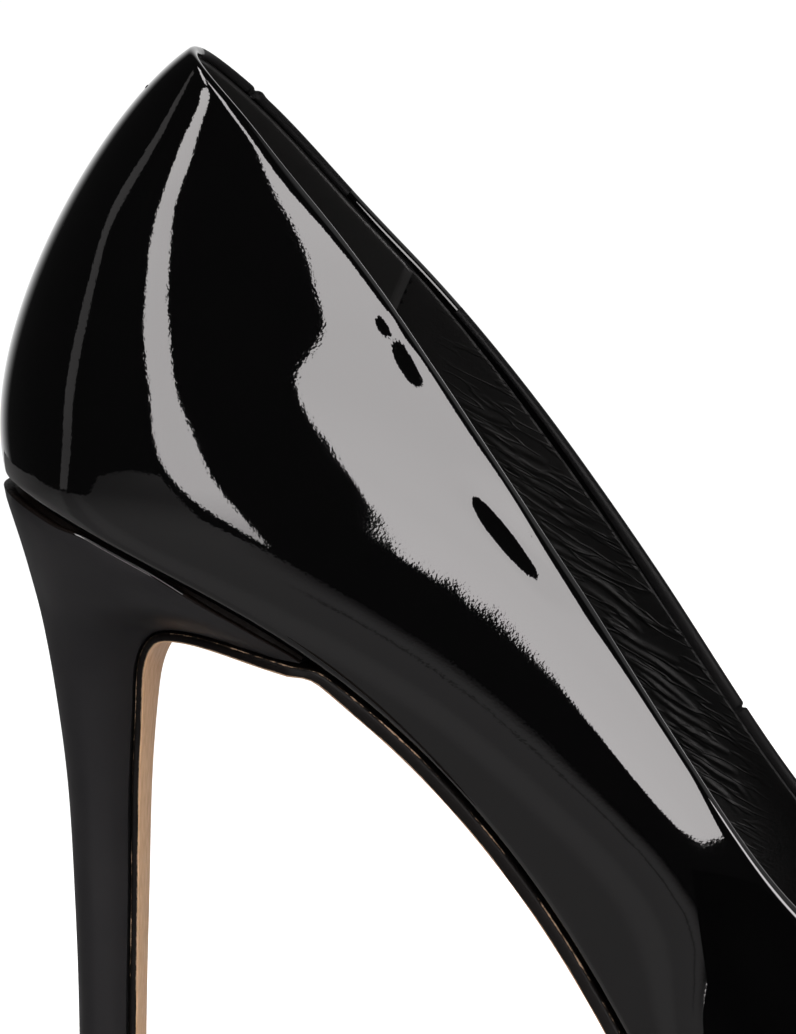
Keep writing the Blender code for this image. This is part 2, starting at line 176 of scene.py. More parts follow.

# %% [markdown]
# ## Studio
# Patent leather shows the studio more than itself: what looks like a shape on the shoe is the mirror
# image of a lamp, the table or the dark room. So the light is set up like a real packshot. The floor is
# a pale table whose rim fades out 0.3 m before the shoe; its image makes the grey zone on the upper.
# The table is lightest close to the shoe and in a soft band along its front, which is painted light, and a
# thin dark joint runs along its rim. To the camera it also glows white away from the shoe, a painted glow
# as under a backdrop light. The room is dark, apart from a white backdrop behind the shoe, which draws the
# thin pale line round its outline, and a dim wall beyond the toe, which greys the crest of the collar. The
# table could be lit by lamps, but a tone that changes with place is easier to set. Sizes are in metres.

# %% Table
Corner = namedtuple("Corner", "x y")
TABLE = [
    Corner(-0.62, 0.90), Corner(-0.63, 0.15), Corner(-0.50, -0.07), Corner(-0.43, -0.21),
    Corner(-0.60, -0.40), Corner(-0.64, -0.70), Corner(-0.49, -0.78), Corner(-0.20, -0.36),
    Corner(-0.10, -0.31), Corner(0.60, -0.31), Corner(0.60, 0.90),
]
TABLE_SINK = 0.0002
TABLE_TONE = 0.39
BAND_Y = -0.150
JOINT_Y = -0.238


def stage_look(name):
    """An empty material for the studio and the wire that starts its tree."""
    look = bpy.data.materials.new(name)
    look.use_nodes = True
    look.node_tree.nodes.clear()
    return look, Wire(look.node_tree)


def stage_mesh(name, points, faces, look, surface):
    """A studio surface, which isn't part of the shoe."""
    end = look.node_tree.nodes.new("ShaderNodeOutputMaterial")
    look.node_tree.links.new(surface.socket, end.inputs["Surface"])
    mesh = bpy.data.meshes.new(name)
    mesh.from_pydata([tuple(p) for p in points], [], faces)
    mesh.materials.append(look)
    made = bpy.data.objects.new(name, mesh)
    SCENE.collection.objects.link(made)
    return made


look, start = stage_look("pale_table")
seen = start.node("ShaderNodeLightPath")
place = start.node("ShaderNodeTexCoord", out=3)
away = start.node("ShaderNodeVectorMath", {"operation": "LENGTH"}, {0: place}, out=1)
# Painted glow: to the camera the table glows white away from the shoe.
strength = seen * away.step(0.10, 0.24, 0.6, 1.0)
across = start.node("ShaderNodeSeparateXYZ", None, {0: place})
ahead = start.node("ShaderNodeSeparateXYZ", None, {0: place}, out=1)
faded = across.step(-0.16, -0.06) * (1 - ahead.step(-0.31, -0.25))
from_band = ahead - BAND_Y
band = (from_band * from_band).step(0.0, 0.0008, 0.3, 0.0)
from_joint = ahead - JOINT_Y
joint = (from_joint * from_joint).step(0.000003, 0.000014, 0.6, 0.0) * across.step(-0.12, -0.10)
# Painted light: the table is lighter close to the shoe and in the band along its front.
lit = (1 + band + ahead.step(-0.085, -0.06, 0.0, 0.7)) * away.step(0.30, 0.55, 1.0, 0.45)
tone = TABLE_TONE * (1 - faded) * (1 - joint) * lit
matt = start.node("ShaderNodeBsdfDiffuse", None, {"Color": tone})
glow = start.node("ShaderNodeEmission", None, {"Color": (1, 1, 1, 1), "Strength": strength})
both = start.node("ShaderNodeAddShader", None, {0: matt, 1: glow})
stage_mesh("floor", [(c.x, c.y, -TABLE_SINK) for c in TABLE], [tuple(range(len(TABLE)))], look, both)
print("table of", len(TABLE), "corners")

# %% Dark room
ROOM_GLOW = 0.02
BACKDROP_GLOW = 1.0
TOE_WALL_GLOW = 0.5
SEEN_GLOW = 1.05

world = bpy.data.worlds.new("studio_room")
SCENE.world = world
world.use_nodes = True
start = Wire(world.node_tree)
seen = start.node("ShaderNodeLightPath")
towards = start.node("ShaderNodeTexCoord")
depth = start.node("ShaderNodeSeparateXYZ", None, {0: towards}, out=1)
across = start.node("ShaderNodeSeparateXYZ", None, {0: towards})
toe_wall = across.step(0.38, 0.55) * depth.step(-0.40, -0.20)
room = depth.step(0.70, 0.95, ROOM_GLOW, BACKDROP_GLOW) + toe_wall * TOE_WALL_GLOW
backdrop = world.node_tree.nodes["Background"]
backdrop.inputs["Color"].default_value = (1, 1, 1, 1)
(seen * SEEN_GLOW + (1 - seen) * room).into(backdrop, "Strength")
print("room of glow", ROOM_GLOW, "with a backdrop of", BACKDROP_GLOW)

# %% [markdown]
# ## Smooth curves
# A pattern maker bends a thin batten through a few marks, and the line between them comes out fair. The
# cards' rims and every line of the last are drawn that way here, by a cubic with continuous curvature.
# Blender's Bezier curves would do, but their curvature jumps at each mark, and a mirror shows that. The
# marks stay few enough to give one by one.

# %% Smooth curves


def spline(knots, values, at, period=None):
    """Cubic through the values with continuous curvature; with a period its ends join smoothly."""
    x = np.asarray(knots, float)
    y = np.asarray(values, float)
    at = np.asarray(at, float)
    if period:
        x = np.append(x, x[0] + period)
        y = np.append(y, y[0])
        at = x[0] + np.mod(at - x[0], period)
    count = len(x)
    h = np.diff(x)
    rise = np.diff(y) / h
    system = np.zeros((count, count))
    right = np.zeros(count)
    for i in range(1, count - 1):
        system[i, i - 1 : i + 2] = h[i - 1], 2 * (h[i - 1] + h[i]), h[i]
        right[i] = 6 * (rise[i] - rise[i - 1])
    if period:
        system[0, [0, 1, -2]] = 2 * (h[0] + h[-1]), h[0], h[-1]
        right[0] = 6 * (rise[0] - rise[-1])
        system[-1, [0, -1]] = 1, -1
    else:
        system[0, 0] = system[-1, -1] = 1
    bend = np.linalg.solve(system, right)
    i = np.clip(np.searchsorted(x, at, side="right") - 1, 0, count - 2)
    a = (x[i + 1] - at) / h[i]
    b = (at - x[i]) / h[i]
    return a * y[i] + b * y[i + 1] + ((a**3 - a) * bend[i] + (b**3 - b) * bend[i + 1]) * h[i] ** 2 / 6


def column(rows, name):
    return np.array([getattr(row, name) for row in rows], float)


print("curves ready")

# %% [markdown]
# ## Light cards
# A lamp in front of the shoe would be a round glare, so a studio bounces it off cards and trims them
# with black flags. Each card here is a flat sheet that glows and casts no shadow. A row of its table
# gives its left and right rim at one height, in millimetres in the card's own plane, and a smooth curve
# runs through the rims. The big softbox fills the quarter, the strip stands towards the heel, in two
# lengths with a gap between them, and a faint gleam comes through a door behind the heel. The last card is
# a slip of white near the toe, which lights the rim at the throat.

# %% Card maker
Rim = namedtuple("Rim", "up left right glow")
CARD_DISTANCE = 900.0
CARD_STEPS = 6
CARD_WHITE = (1, 0.965, 0.965, 1)


def light_card(name, about, azimuth, elevation, rims, distance=CARD_DISTANCE):
    """A glowing card with trimmed rims, seen in reflections only."""
    look, start = stage_look(name)
    power = start.node("ShaderNodeAttribute", {"attribute_name": "glow"}, out=2)
    surface = start.node("ShaderNodeEmission", None, {"Color": CARD_WHITE, "Strength": power})
    towards = bearing(azimuth, elevation)
    right = np.array((math.cos(math.radians(azimuth)), math.sin(math.radians(azimuth)), 0.0))
    up = np.cross(towards, right)
    knots = column(rims, "up")
    count = CARD_STEPS * (len(rims) - 1) + 1
    heights = np.interp(np.linspace(0, len(rims) - 1, count), np.arange(len(rims)), knots)
    points = []
    for side in ("left", "right"):
        for u, v in zip(spline(knots, column(rims, side), heights), heights):
            points.append((np.array(about) + towards * distance + u * right + v * up - CENTRE) * MM)
    faces = [(k, k + 1, count + k + 1, count + k) for k in range(count - 1)]
    card = stage_mesh(name, points, faces, look, surface)
    power = np.tile(np.interp(heights, knots, column(rims, "glow")), 2)
    marks = card.data.attributes.new("glow", "FLOAT", "POINT")
    marks.data.foreach_set("value", power.astype(np.float32))
    card.visible_camera = False
    card.visible_shadow = False
    print(name, count, "rows")
    return card


# %% Light cards
SOFTBOX = [
    Rim(-490, -420, -390, 10.6), Rim(-475, -440, -330, 10.6), Rim(-450, -448, -262, 10.6),
    Rim(-415, -431, -195, 10.6), Rim(-366, -395, -110, 10.4), Rim(-279, -350, 35, 10.2),
    Rim(-230, -345, 75, 10), Rim(-180, -340, 95, 10), Rim(-110, -352, 60, 9.8), Rim(-60, -350, 50, 9.6),
    Rim(-18, -335, 55, 9.5), Rim(50, -262, 75, 9.5), Rim(110, -207, 75, 9.5), Rim(200, -200, 25, 9.7),
    Rim(270, -200, -10, 9.7), Rim(380, -215, -60, 10), Rim(530, -270, -130, 10), Rim(720, -320, -215, 10),
    Rim(1000, -455, -370, 10), Rim(1300, -595, -480, 10), Rim(1700, -740, -600, 10),
    Rim(2600, -1060, -920, 10), Rim(4000, -1560, -1440, 10),
]
STRIP = [
    Rim(-830, 715, 735, 6), Rim(-690, 490, 680, 8), Rim(-580, 360, 600, 9), Rim(-460, 265, 530, 9),
    Rim(-340, 220, 465, 9), Rim(-220, 190, 380, 9), Rim(-110, 140, 305, 9), Rim(0, 70, 250, 9),
    Rim(110, 5, 170, 9), Rim(220, -80, 100, 9), Rim(330, -140, 15, 8.7), Rim(450, -170, -10, 9),
    Rim(560, -195, -40, 9), Rim(660, -212, -85, 9), Rim(800, -300, -150, 9), Rim(855, -330, -215, 9),
    Rim(880, -305, -265, 9),
]
STRIP_END = [
    Rim(950, -365, -300, 9), Rim(1150, -600, -430, 9), Rim(1600, -900, -680, 9),
    Rim(2400, -1350, -1000, 9),
]
GLEAM = [
    Rim(-650, 0, 110, 0.5), Rim(-410, 115, 230, 0.5), Rim(-230, 100, 210, 0.6), Rim(-90, 70, 180, 0.6),
    Rim(25, 30, 135, 0.6), Rim(115, -35, 65, 0.6), Rim(190, -100, 0, 0.6), Rim(285, -85, 15, 0.6),
    Rim(390, -70, 30, 0.6), Rim(520, -130, -25, 0.6), Rim(690, -375, -270, 0.5),
]
TOE_CARD = [Rim(-13, -6, 6, 13), Rim(13, -6, 6, 13)]
light_card("softbox", (60, -25, 105), 28, 22, SOFTBOX)
light_card("strip_light", (25, -25, 130), -42, 22, STRIP)
light_card("strip_end", (25, -25, 130), -42, 22, STRIP_END)
light_card("door_gleam", (10, -15, 135), -82, 20, GLEAM)
light_card("toe_card", (107, -22, 53), 65, 26, TOE_CARD, 60)

# %% [markdown]
# ## Black flag
# A photographer also stands a black flag close to the shoe, where a lamp would be mirrored in the wrong
# place. This one keeps the lamps out of the vamp. It is a black sheet in an upright plane, cut to a curve at
# its upper left corner, and only reflections see it.

# %% Black flag
Post = namedtuple("Post", "x low high")
FLAG_Y = -32.0
FLAG = [
    Post(92.6, 5, 34), Post(93.4, 5, 37.8), Post(94.4, 5, 40.2),
    Post(95.3, 5, 42), Post(95.5, 5, 57), Post(116, 5, 57),
]

look, start = stage_look("black_flag")
surface = start.node("ShaderNodeEmission", None, {"Color": (0, 0, 0, 1), "Strength": 0.0})
corners = [(post.x, FLAG_Y, post.low) for post in FLAG]
corners += [(post.x, FLAG_Y, post.high) for post in FLAG[::-1]]
points = [(np.array(corner) - CENTRE) * MM for corner in corners]
flag = stage_mesh("black_flag", points, [tuple(range(len(points)))], look, surface)
flag.visible_camera = False
flag.visible_shadow = False
flag.visible_diffuse = False
print("flag of", len(FLAG), "posts")

# %% [markdown]
# ## Patent leather
# Patent leather is black leather under a thick clear lacquer. Its colour is almost nothing; its look is
# the sharp reflection, broken up a little by the grain that prints through the lacquer. So the base is
# near black, the roughness very low, and two sizes of bump carry the look: film grain of a third of a
# millimetre, which makes the edges of reflections furry, and a slower swell of some millimetres. The
# lacquer is thickest in the middle of the quarter and on the vamp, so less of the grain shows there. A
# few specks of dust lie on it. The folded edge of the collar and the heel's cover are rubbed to a satin
# gloss, so they get the same finish with more roughness and less shine.

# %% Patent finish
QUARTER = (-0.0533, -0.026, 0.101)
FILM_SCALE = 2400.0
SWELL_SCALE = 140.0
DUST_SCALE = 75.0
DUST = (0.16, 0.16, 0.16, 1)


def patent_finish(name, tone, gloss, film, swell, shine=0.5):
    """Tone and gloss are the black's own; film and swell are heights of bump in millimetres."""
    made, shader, place = new_finish(name, IOR=1.5, Specular_IOR_Level=shine)
    apart = place.node("ShaderNodeVectorMath", {"operation": "DISTANCE"}, {0: place, 1: QUARTER}, out=1)
    ahead = place.node("ShaderNodeSeparateXYZ", None, {0: place})
    clear = apart.step(0.008, 0.017, 0.35, 1.0) * ahead.step(-0.04, -0.018, 1.0, 0.3)
    film_grain = place.noise(FILM_SCALE, 1.0) * clear * film
    shade = place.noise(160.0, 3.0)
    black = shade.between((tone, tone, tone * 1.1, 1), (tone * 1.6, tone * 1.55, tone * 1.6, 1))
    speck = place.node("ShaderNodeTexVoronoi", None, {"Vector": place, "Scale": DUST_SCALE})
    speck.step(0.008, 0.014, 1.0, 0.0).between(black, DUST).into(shader, "Base Color")
    place.noise(45.0, 2.0).step(0.3, 0.75, gloss, gloss * 1.5).into(shader, "Roughness")
    (film_grain + place.noise(SWELL_SCALE, 1.0) * swell).bump().into(shader, "Normal")
    return made


PATENT = patent_finish("patent_black", 0.0007, 0.02, 0.0035, 0.015)
FOLD_PATENT = patent_finish("fold_patent", 0.003, 0.42, 0.004, 0.02, 0.1)
HEEL_COVER = patent_finish("heel_patent", 0.0095, 0.38, 0.003, 0.02, 0.07)
print("patent finishes made")

# %% [markdown]
# ## Lining and sock
# The shoe is lined with thin black kid. It is matt beside the patent, with fine pores, and it creases
# into slanting ripples where the quarter bends. The big ripples are real geometry further down; the
# finish adds pores and the fine pull lines between them, and is darker towards the toe, a painted shade
# for the depth of the shoe. The grip round the heel, its edge and the sock are the same kid with more
# shine and no lines.

# %% Lining finishes
PULL_SCALE = (90.0, 300.0, 620.0)
PULL_TURN = 0.49


def kid_finish(name, tone, rough, shine, creased):
    """Creased is the height of the pull lines in millimetres."""
    made, shader, place = new_finish(name, IOR=1.45, Specular_IOR_Level=shine)
    cloud = place.noise(70.0, 3.0)
    pores = place.noise(1700.0, 3.0, 0.6)
    ahead = place.node("ShaderNodeSeparateXYZ", None, {0: place})
    strand = place.stretched(PULL_SCALE, (0.0, PULL_TURN, 0.0)).noise(1.0, 2.0, 0.5) - 0.5
    crease = 1 - strand.maths("ABSOLUTE", strand).step(0.0, 0.06)
    zone = ahead.step(-0.057, -0.048) * (1 - ahead.step(-0.020, -0.008))
    black = cloud.between((tone, tone, tone, 1), (tone * 1.9, tone * 1.85, tone * 1.8, 1))
    # Painted shade: the kid darkens towards the toe, deeper inside the shoe.
    painted_shade = (tone * 0.4, tone * 0.4, tone * 0.4, 1)
    ahead.step(-0.05, -0.025).between(black, painted_shade).into(shader, "Base Color")
    pores.step(0.2, 0.8, rough, rough + 0.14).into(shader, "Roughness")
    (pores * 0.03 + crease * zone * creased).bump().into(shader, "Normal")
    return made


LINING_KID = kid_finish("lining_kid", 0.005, 0.41, 0.20, 0.10)
GRIP_KID = kid_finish("grip_kid", 0.006, 0.40, 0.45, 0.0)
GRIP_EDGE = kid_finish("grip_edge", 0.011, 0.45, 0.5, 0.0)
SOCK_KID = kid_finish("sock_kid", 0.008, 0.46, 0.5, 0.0)
print("lining finishes made")

# %% [markdown]
# ## Sole leather and edge ink
# The sole is pale tan leather with its edge inked black. The ink is put on by hand, so it stops in a
# ragged line and has rubbed through to tan in thin streaks along the corners. These pale streaks also stand
# in for the highlights on the rounded corners, so they are partly a painted highlight. Streaks drawn in a
# texture would need an image, so the ink follows a value stored in the mesh instead, which is highest at
# the corners of the edge and 0 between them.

# %% Sole finishes
made, shader, place = new_finish("sole_leather", IOR=1.45, Specular_IOR_Level=0.35)
fibre = place.stretched((420.0, 1500.0, 420.0)).noise(1.0, 4.0, 0.6)
cloud = place.noise(38.0, 3.0)
tan = cloud.between((0.60, 0.39, 0.22, 1), (0.72, 0.49, 0.30, 1))
fibre.step(0.25, 0.8).between(tan, (0.52, 0.33, 0.185, 1)).into(shader, "Base Color")
fibre.step(0.2, 0.8, 0.42, 0.6).into(shader, "Roughness")
(fibre * 0.05).bump().into(shader, "Normal")
SOLE_LEATHER = made

made, shader, place = new_finish("edge_ink", IOR=1.45, Specular_IOR_Level=0.1)
wear_and_gleam = place.node("ShaderNodeAttribute", {"attribute_name": "wear_and_gleam"}, out=2)
ragged = place.noise(1400.0, 4.0, 0.65)
patches = place.noise(140.0, 2.0)
# Bare tan where the ink is worn through, and in the same streaks a painted highlight along the corners.
bare_and_gleam = (wear_and_gleam * 0.55 + patches * 0.65 + ragged * 0.4).step(1.10, 1.20)
ink = ragged.between((0.0006, 0.0006, 0.0006, 1), (0.0035, 0.0024, 0.002, 1))
bare_and_gleam.between(ink, (0.26, 0.18, 0.12, 1)).into(shader, "Base Color")
(bare_and_gleam * 0.2 + ragged.step(0.2, 0.8, 0.36, 0.5)).into(shader, "Roughness")
(ragged * 0.02).bump().into(shader, "Normal")
EDGE_INK = made
print("sole finishes made")

# %% [markdown]
# ## Tucked edge, top lift and thread
# Three dull finishes are left: the raw edge of the heel's cover, frayed and brownish where it is tucked
# in; the top lift, a small block of hard black rubber, dull from the mould; and the waxed black thread.
# Each is one noise, which gives its tone, its roughness and its relief at once, so one function makes all
# three.

# %% Dull finishes


def dull_finish(name, tones, rough, relief, shine, noise, ior=1.45):
    """Tones and rough are ranges, relief a height in millimetres; noise is scale, detail, roughness."""
    made, shader, place = new_finish(name, IOR=ior, Specular_IOR_Level=shine)
    grain = place.noise(*noise)
    grain.between((*tones[0], 1), (*tones[1], 1)).into(shader, "Base Color")
    grain.step(0.2, 0.8, *rough).into(shader, "Roughness")
    (grain * relief).bump().into(shader, "Normal")
    return made


FRAYED = (0.0008, 0.0007, 0.0006), (0.004, 0.0022, 0.0015)
RUBBER = (0.012, 0.012, 0.012), (0.028, 0.027, 0.026)
WAXED = (0.001, 0.001, 0.001), (0.004, 0.004, 0.004)
TUCKED_EDGE = dull_finish("tucked_edge", FRAYED, (0.4, 0.65), 0.06, 0.05, (900.0, 3.0, 0.6))
LIFT_RUBBER = dull_finish("lift_rubber", RUBBER, (0.45, 0.65), 0.05, 0.5, (2200.0, 3.0, 0.6), 1.48)
THREAD = dull_finish("waxed_thread", WAXED, (0.55, 0.75), 0.04, 0.1, (5200.0, 2.0, 0.5))
print("dull finishes made")

# %% [markdown]
# ## The last
# Every piece is cut to one last, so its form comes first, with the same sizes as the solids. A bottom
# curve is summed up from its slopes, an outline is laid along it, and wall lines rise from the outline
# to the collar or to the ridge of the vamp. Here the lines can be laid as close as a piece needs.
#
# All sizes are millimetres from the back of the heel seat. WALL is the leather's thickness and GAP the play
# between pieces; a slope is that of the bottom at a distance s along it. A row gives the half widths of the
# bottom there, the far end of its wall line on both sides, the angles at which the line leaves the bottom
# and reaches that end, the lengths of its two handles as shares of its reach, and how far it has turned
# over the vamp. The collar cuts the wall lines at its height, and a level is one cut through the heel, with
# its back edge, its breast and its half widths at the widest and at the breast.

# %% Sizes of the last
WALL = 1.6
GAP = 0.3
SOLE_LENGTH = 264.0
TREAD = 183.0
SOLE_FOREPART = 2.5
SOLE_WAIST = 2.0
SOLE_WING = 1.6
SOLE_FLAP = 1.2
SOLE_INSET = 0.4
FLAT = 0.06
INSOLE = 1.8
WING = 47.0
TIP_HEIGHT = 5.5
print("wall", WALL, "mm, sole", SOLE_FOREPART, "mm at the tread")

# %% Bottom and rows
Slope = namedtuple("Slope", "s degrees")
SLOPES = [
    Slope(0, 20), Slope(12, 24.5), Slope(26, 26), Slope(40, 29.5), Slope(52, 36), Slope(64, 42.5),
    Slope(78, 49), Slope(92, 54.5), Slope(106, 59), Slope(119, 59.5), Slope(133, 52), Slope(148, 33),
    Slope(162, 13), Slope(174, 2), Slope(186, 0), Slope(200, -0.4), Slope(230, -2.4), Slope(264, -4.5),
]
Row = namedtuple("Row", "s lat med x z_lat z_med y_lat y_med bow roll low high over")
ROWS = [
    Row(0, 0, 0, 28.6, 165.0, 165.0, 0, 0, 40, 52, 0.33, 0.17, 0),
    Row(3, 11.8, 11.8, 30.6, 163.5, 163.4, -6.8, 6.6, 39, 46, 0.33, 0.19, 0),
    Row(10, 20.4, 20.2, 36.2, 157.9, 157.2, -12.4, 12.0, 36, 34, 0.33, 0.24, 0),
    Row(22, 25.4, 25.0, 45.9, 146.6, 145.8, -17.5, 16.7, 31, 24, 0.33, 0.30, 0),
    Row(36, 26.4, 25.2, 56.1, 133.6, 134.4, -20.3, 19.0, 27, 20, 0.33, 0.33, 0),
    Row(52, 25.3, 23.0, 68.7, 115.7, 118.9, -21.6, 19.8, 24.5, 21, 0.33, 0.33, 0),
    Row(70, 23.2, 20.2, 83.7, 94.2, 98.8, -22.2, 19.9, 23.5, 25, 0.33, 0.33, 0.02),
    Row(90, 21.6, 18.4, 98.0, 74.2, 79.6, -21.4, 18.8, 24, 28, 0.33, 0.34, 0.10),
    Row(111, 21.2, 19.2, 109.2, 62.6, 67.4, -17.2, 15.4, 27, 31, 0.34, 0.35, 0.30),
    Row(132, 24.2, 23.6, 117.4, 57.4, 59.6, -8.6, 9.6, 32, 34, 0.37, 0.36, 0.62),
    Row(151, 30.0, 30.2, 125.4, 51.4, 51.8, -0.4, 4.4, 39, 37, 0.40, 0.38, 0.90),
    Row(163, 34.2, 35.2, 133.2, 45.2, 45.2, 2.5, 2.5, 44, 39, 0.42, 0.39, 1),
    Row(173, 36.4, 38.0, 141.6, 40.2, 40.2, 3.0, 3.0, 48, 40, 0.44, 0.40, 1),
    Row(187, 34.8, 39.4, 154.0, 35.6, 35.6, 3.6, 3.6, 50, 42, 0.45, 0.41, 1),
    Row(203, 29.0, 36.4, 169.5, 30.4, 30.4, 4.6, 4.6, 51, 43, 0.45, 0.42, 1),
    Row(219, 20.8, 30.4, 186.0, 24.8, 24.8, 5.6, 5.6, 51, 43, 0.45, 0.42, 1),
    Row(235, 11.6, 23.6, 200.5, 19.4, 19.4, 6.4, 6.4, 50, 42, 0.44, 0.42, 1),
    Row(249.5, 2.8, 16.8, 210.5, 15.6, 15.6, 7.0, 7.0, 48, 40, 0.43, 0.42, 1),
    Row(259.5, -3.0, 12.0, 210.5, 15.6, 15.6, 7.0, 7.0, 45, 36, 0.42, 0.42, 1),
    Row(264, -7.4, 7.4, 210.5, 15.6, 15.6, 7.0, 7.0, 43, 34, 0.42, 0.42, 1),
]
THROAT = 12
POLE = 17
print("last of", SOLE_LENGTH, "mm with", len(ROWS), "rows")

# %% Collar and heel
Collar = namedtuple("Collar", "x z_lat z_med")
COLLAR = [
    Collar(18, 171.0, 171.0), Collar(26.2, 162.9, 162.9), Collar(34.4, 155.2, 154.7),
    Collar(44.4, 143.8, 143.1), Collar(54.6, 131.1, 131.9), Collar(67, 113.3, 116.5),
    Collar(81.6, 91.9, 96.5), Collar(95.6, 70.6, 76.1), Collar(107.6, 53.9, 60.1),
    Collar(117, 46.0, 50.4), Collar(126, 41.9, 44.2), Collar(134, 40.4, 41.2), Collar(141.6, 40.2, 40.2),
]
Level = namedtuple("Level", "back_x back_z breast_x breast_z wide breast")
LEVELS = [
    Level(-0.3, 104.9, 42.3, 83.8, 25.6, 24.6), Level(0.5, 102.4, 37.4, 84.9, 24.2, 22.4),
    Level(1.9, 98.2, 31.6, 86.1, 21.6, 18.8), Level(3.3, 93.4, 25.4, 86.7, 18.0, 14.0),
    Level(4.6, 88.0, 20.9, 85.7, 14.0, 10.4), Level(5.7, 81.9, 18.5, 82.0, 10.7, 7.8),
    Level(6.6, 75.8, 17.7, 76.6, 8.6, 5.9), Level(7.9, 65.1, 17.0, 65.6, 6.8, 4.8),
    Level(8.7, 51.5, 16.7, 51.7, 5.7, 4.2), Level(9.2, 38.0, 16.4, 38.0, 5.1, 3.8),
    Level(9.4, 22.0, 16.2, 22.0, 4.7, 3.7), Level(9.5, TIP_HEIGHT, 16.2, TIP_HEIGHT, 4.6, 3.7),
]
print("collar of", len(COLLAR), "points, heel of", len(LEVELS), "levels")

# %% Curves of the last


def unit(v):
    return v / np.maximum(np.linalg.norm(v, axis=-1, keepdims=True), 1e-9)


def smooth(x):
    x = np.clip(x, 0, 1)
    return x * x * (3 - 2 * x)


def bulge(x, middle, width):
    """A soft bump of height 1 round the middle."""
    return np.exp(-(((x - middle) / width) ** 2))


FINE = np.linspace(0, SOLE_LENGTH, 1057)
FINE_SLOPE = np.radians(spline(column(SLOPES, "s"), column(SLOPES, "degrees"), FINE))
STEP = FINE[1] - FINE[0]
MID_SLOPE = (FINE_SLOPE[1:] + FINE_SLOPE[:-1]) / 2
FINE_X = np.concatenate([[0], np.cumsum(np.cos(MID_SLOPE) * STEP)])
FINE_Z = np.concatenate([[0], np.cumsum(-np.sin(MID_SLOPE) * STEP)])
FINE_Z += GAP + SOLE_FOREPART - np.interp(TREAD, FINE, FINE_Z)


def bottom(s, y=0.0, rise=0.0):
    """Point on the bottom of the last, lifted square to it by rise."""
    slope = np.interp(s, FINE, FINE_SLOPE)
    x = np.interp(s, FINE, FINE_X) + rise * np.sin(slope)
    z = np.interp(s, FINE, FINE_Z) + rise * np.cos(slope)
    return np.stack([x, np.broadcast_to(y, x.shape), z], -1)


LAT = np.stack([column(ROWS, "s"), -column(ROWS, "lat")], 1)
MED = np.stack([column(ROWS, "s"), column(ROWS, "med")], 1)
CHORDS = (np.linalg.norm(np.diff(LAT, axis=0), axis=1) + np.linalg.norm(np.diff(MED, axis=0), axis=1)) / 2
TAU = np.concatenate([[0], np.cumsum(CHORDS)])


def loop_spline(lateral, medial, at, last):
    """A closed curve through the rows up to number last, lateral side at negative values of at."""
    knots = np.concatenate([-TAU[last:0:-1], TAU[:last]])
    values = np.concatenate([lateral[last:0:-1], medial[:last]])
    return spline(knots, values, at, 2 * TAU[last])


def outline(at):
    """(distance along the bottom, y) of the edge of the bottom."""
    last = len(ROWS) - 1
    s = loop_spline(LAT[:, 0], MED[:, 0], at, last)
    y = loop_spline(LAT[:, 1], MED[:, 1], at, last)
    return np.clip(s, 0, SOLE_LENGTH), y


print("heel seat", round(float(FINE_Z[0]), 1), "mm up, toe at", round(float(FINE_X[-1]), 1), "mm")

# %% Ends of the wall lines


def crown(at):
    """Far end of each wall line: past the throat both sides share one ridge."""
    place = np.abs(at)
    ends = []
    for lateral, medial in (("x", "x"), ("y_lat", "y_med"), ("z_lat", "z_med")):
        rows = ROWS[: POLE + 1]
        knots = np.concatenate([-TAU[POLE:0:-1], TAU[: POLE + 1]])
        values = np.concatenate([column(rows, lateral)[POLE:0:-1], column(rows, medial)])
        ends.append(spline(knots, values, np.clip(at, -TAU[POLE], TAU[POLE])))
    first = THROAT - 1
    ridge = []
    for name in ("x", "y_med", "z_med"):
        values = column(ROWS, name)[first : POLE + 1]
        ridge.append(spline(TAU[first : POLE + 1], values, np.clip(place, TAU[first], TAU[POLE])))
    share = smooth((place - TAU[first]) / (TAU[THROAT] - TAU[first]))[:, None]
    return (1 - share) * np.stack(ends, 1) + share * np.stack(ridge, 1)


def cut_share(lines, at):
    """How far along each wall line the collar crosses it, 1 where it doesn't."""
    share = np.ones(len(at))
    steps = np.linspace(0, 1, lines.shape[1])
    for i, (line, place) in enumerate(zip(lines, at)):
        if abs(place) >= TAU[THROAT] - 1e-6:
            continue
        name = "z_lat" if place < 0 else "z_med"
        above = line[:, 2] - spline(column(COLLAR, "x"), column(COLLAR, name), line[:, 0])
        over = np.nonzero((above[1:] > 0) & (above[:-1] <= 0))[0]
        if len(over):
            k = over[0]
            share[i] = steps[k] + (steps[k + 1] - steps[k]) * -above[k] / (above[k + 1] - above[k])
    return share


print("collar reaches", round(float(TAU[THROAT]), 1), "mm round each side")

# %% Wall lines of the upper
INNER = (14, 250)
LEAN = 0.028
TOE_FALL = math.radians(20)


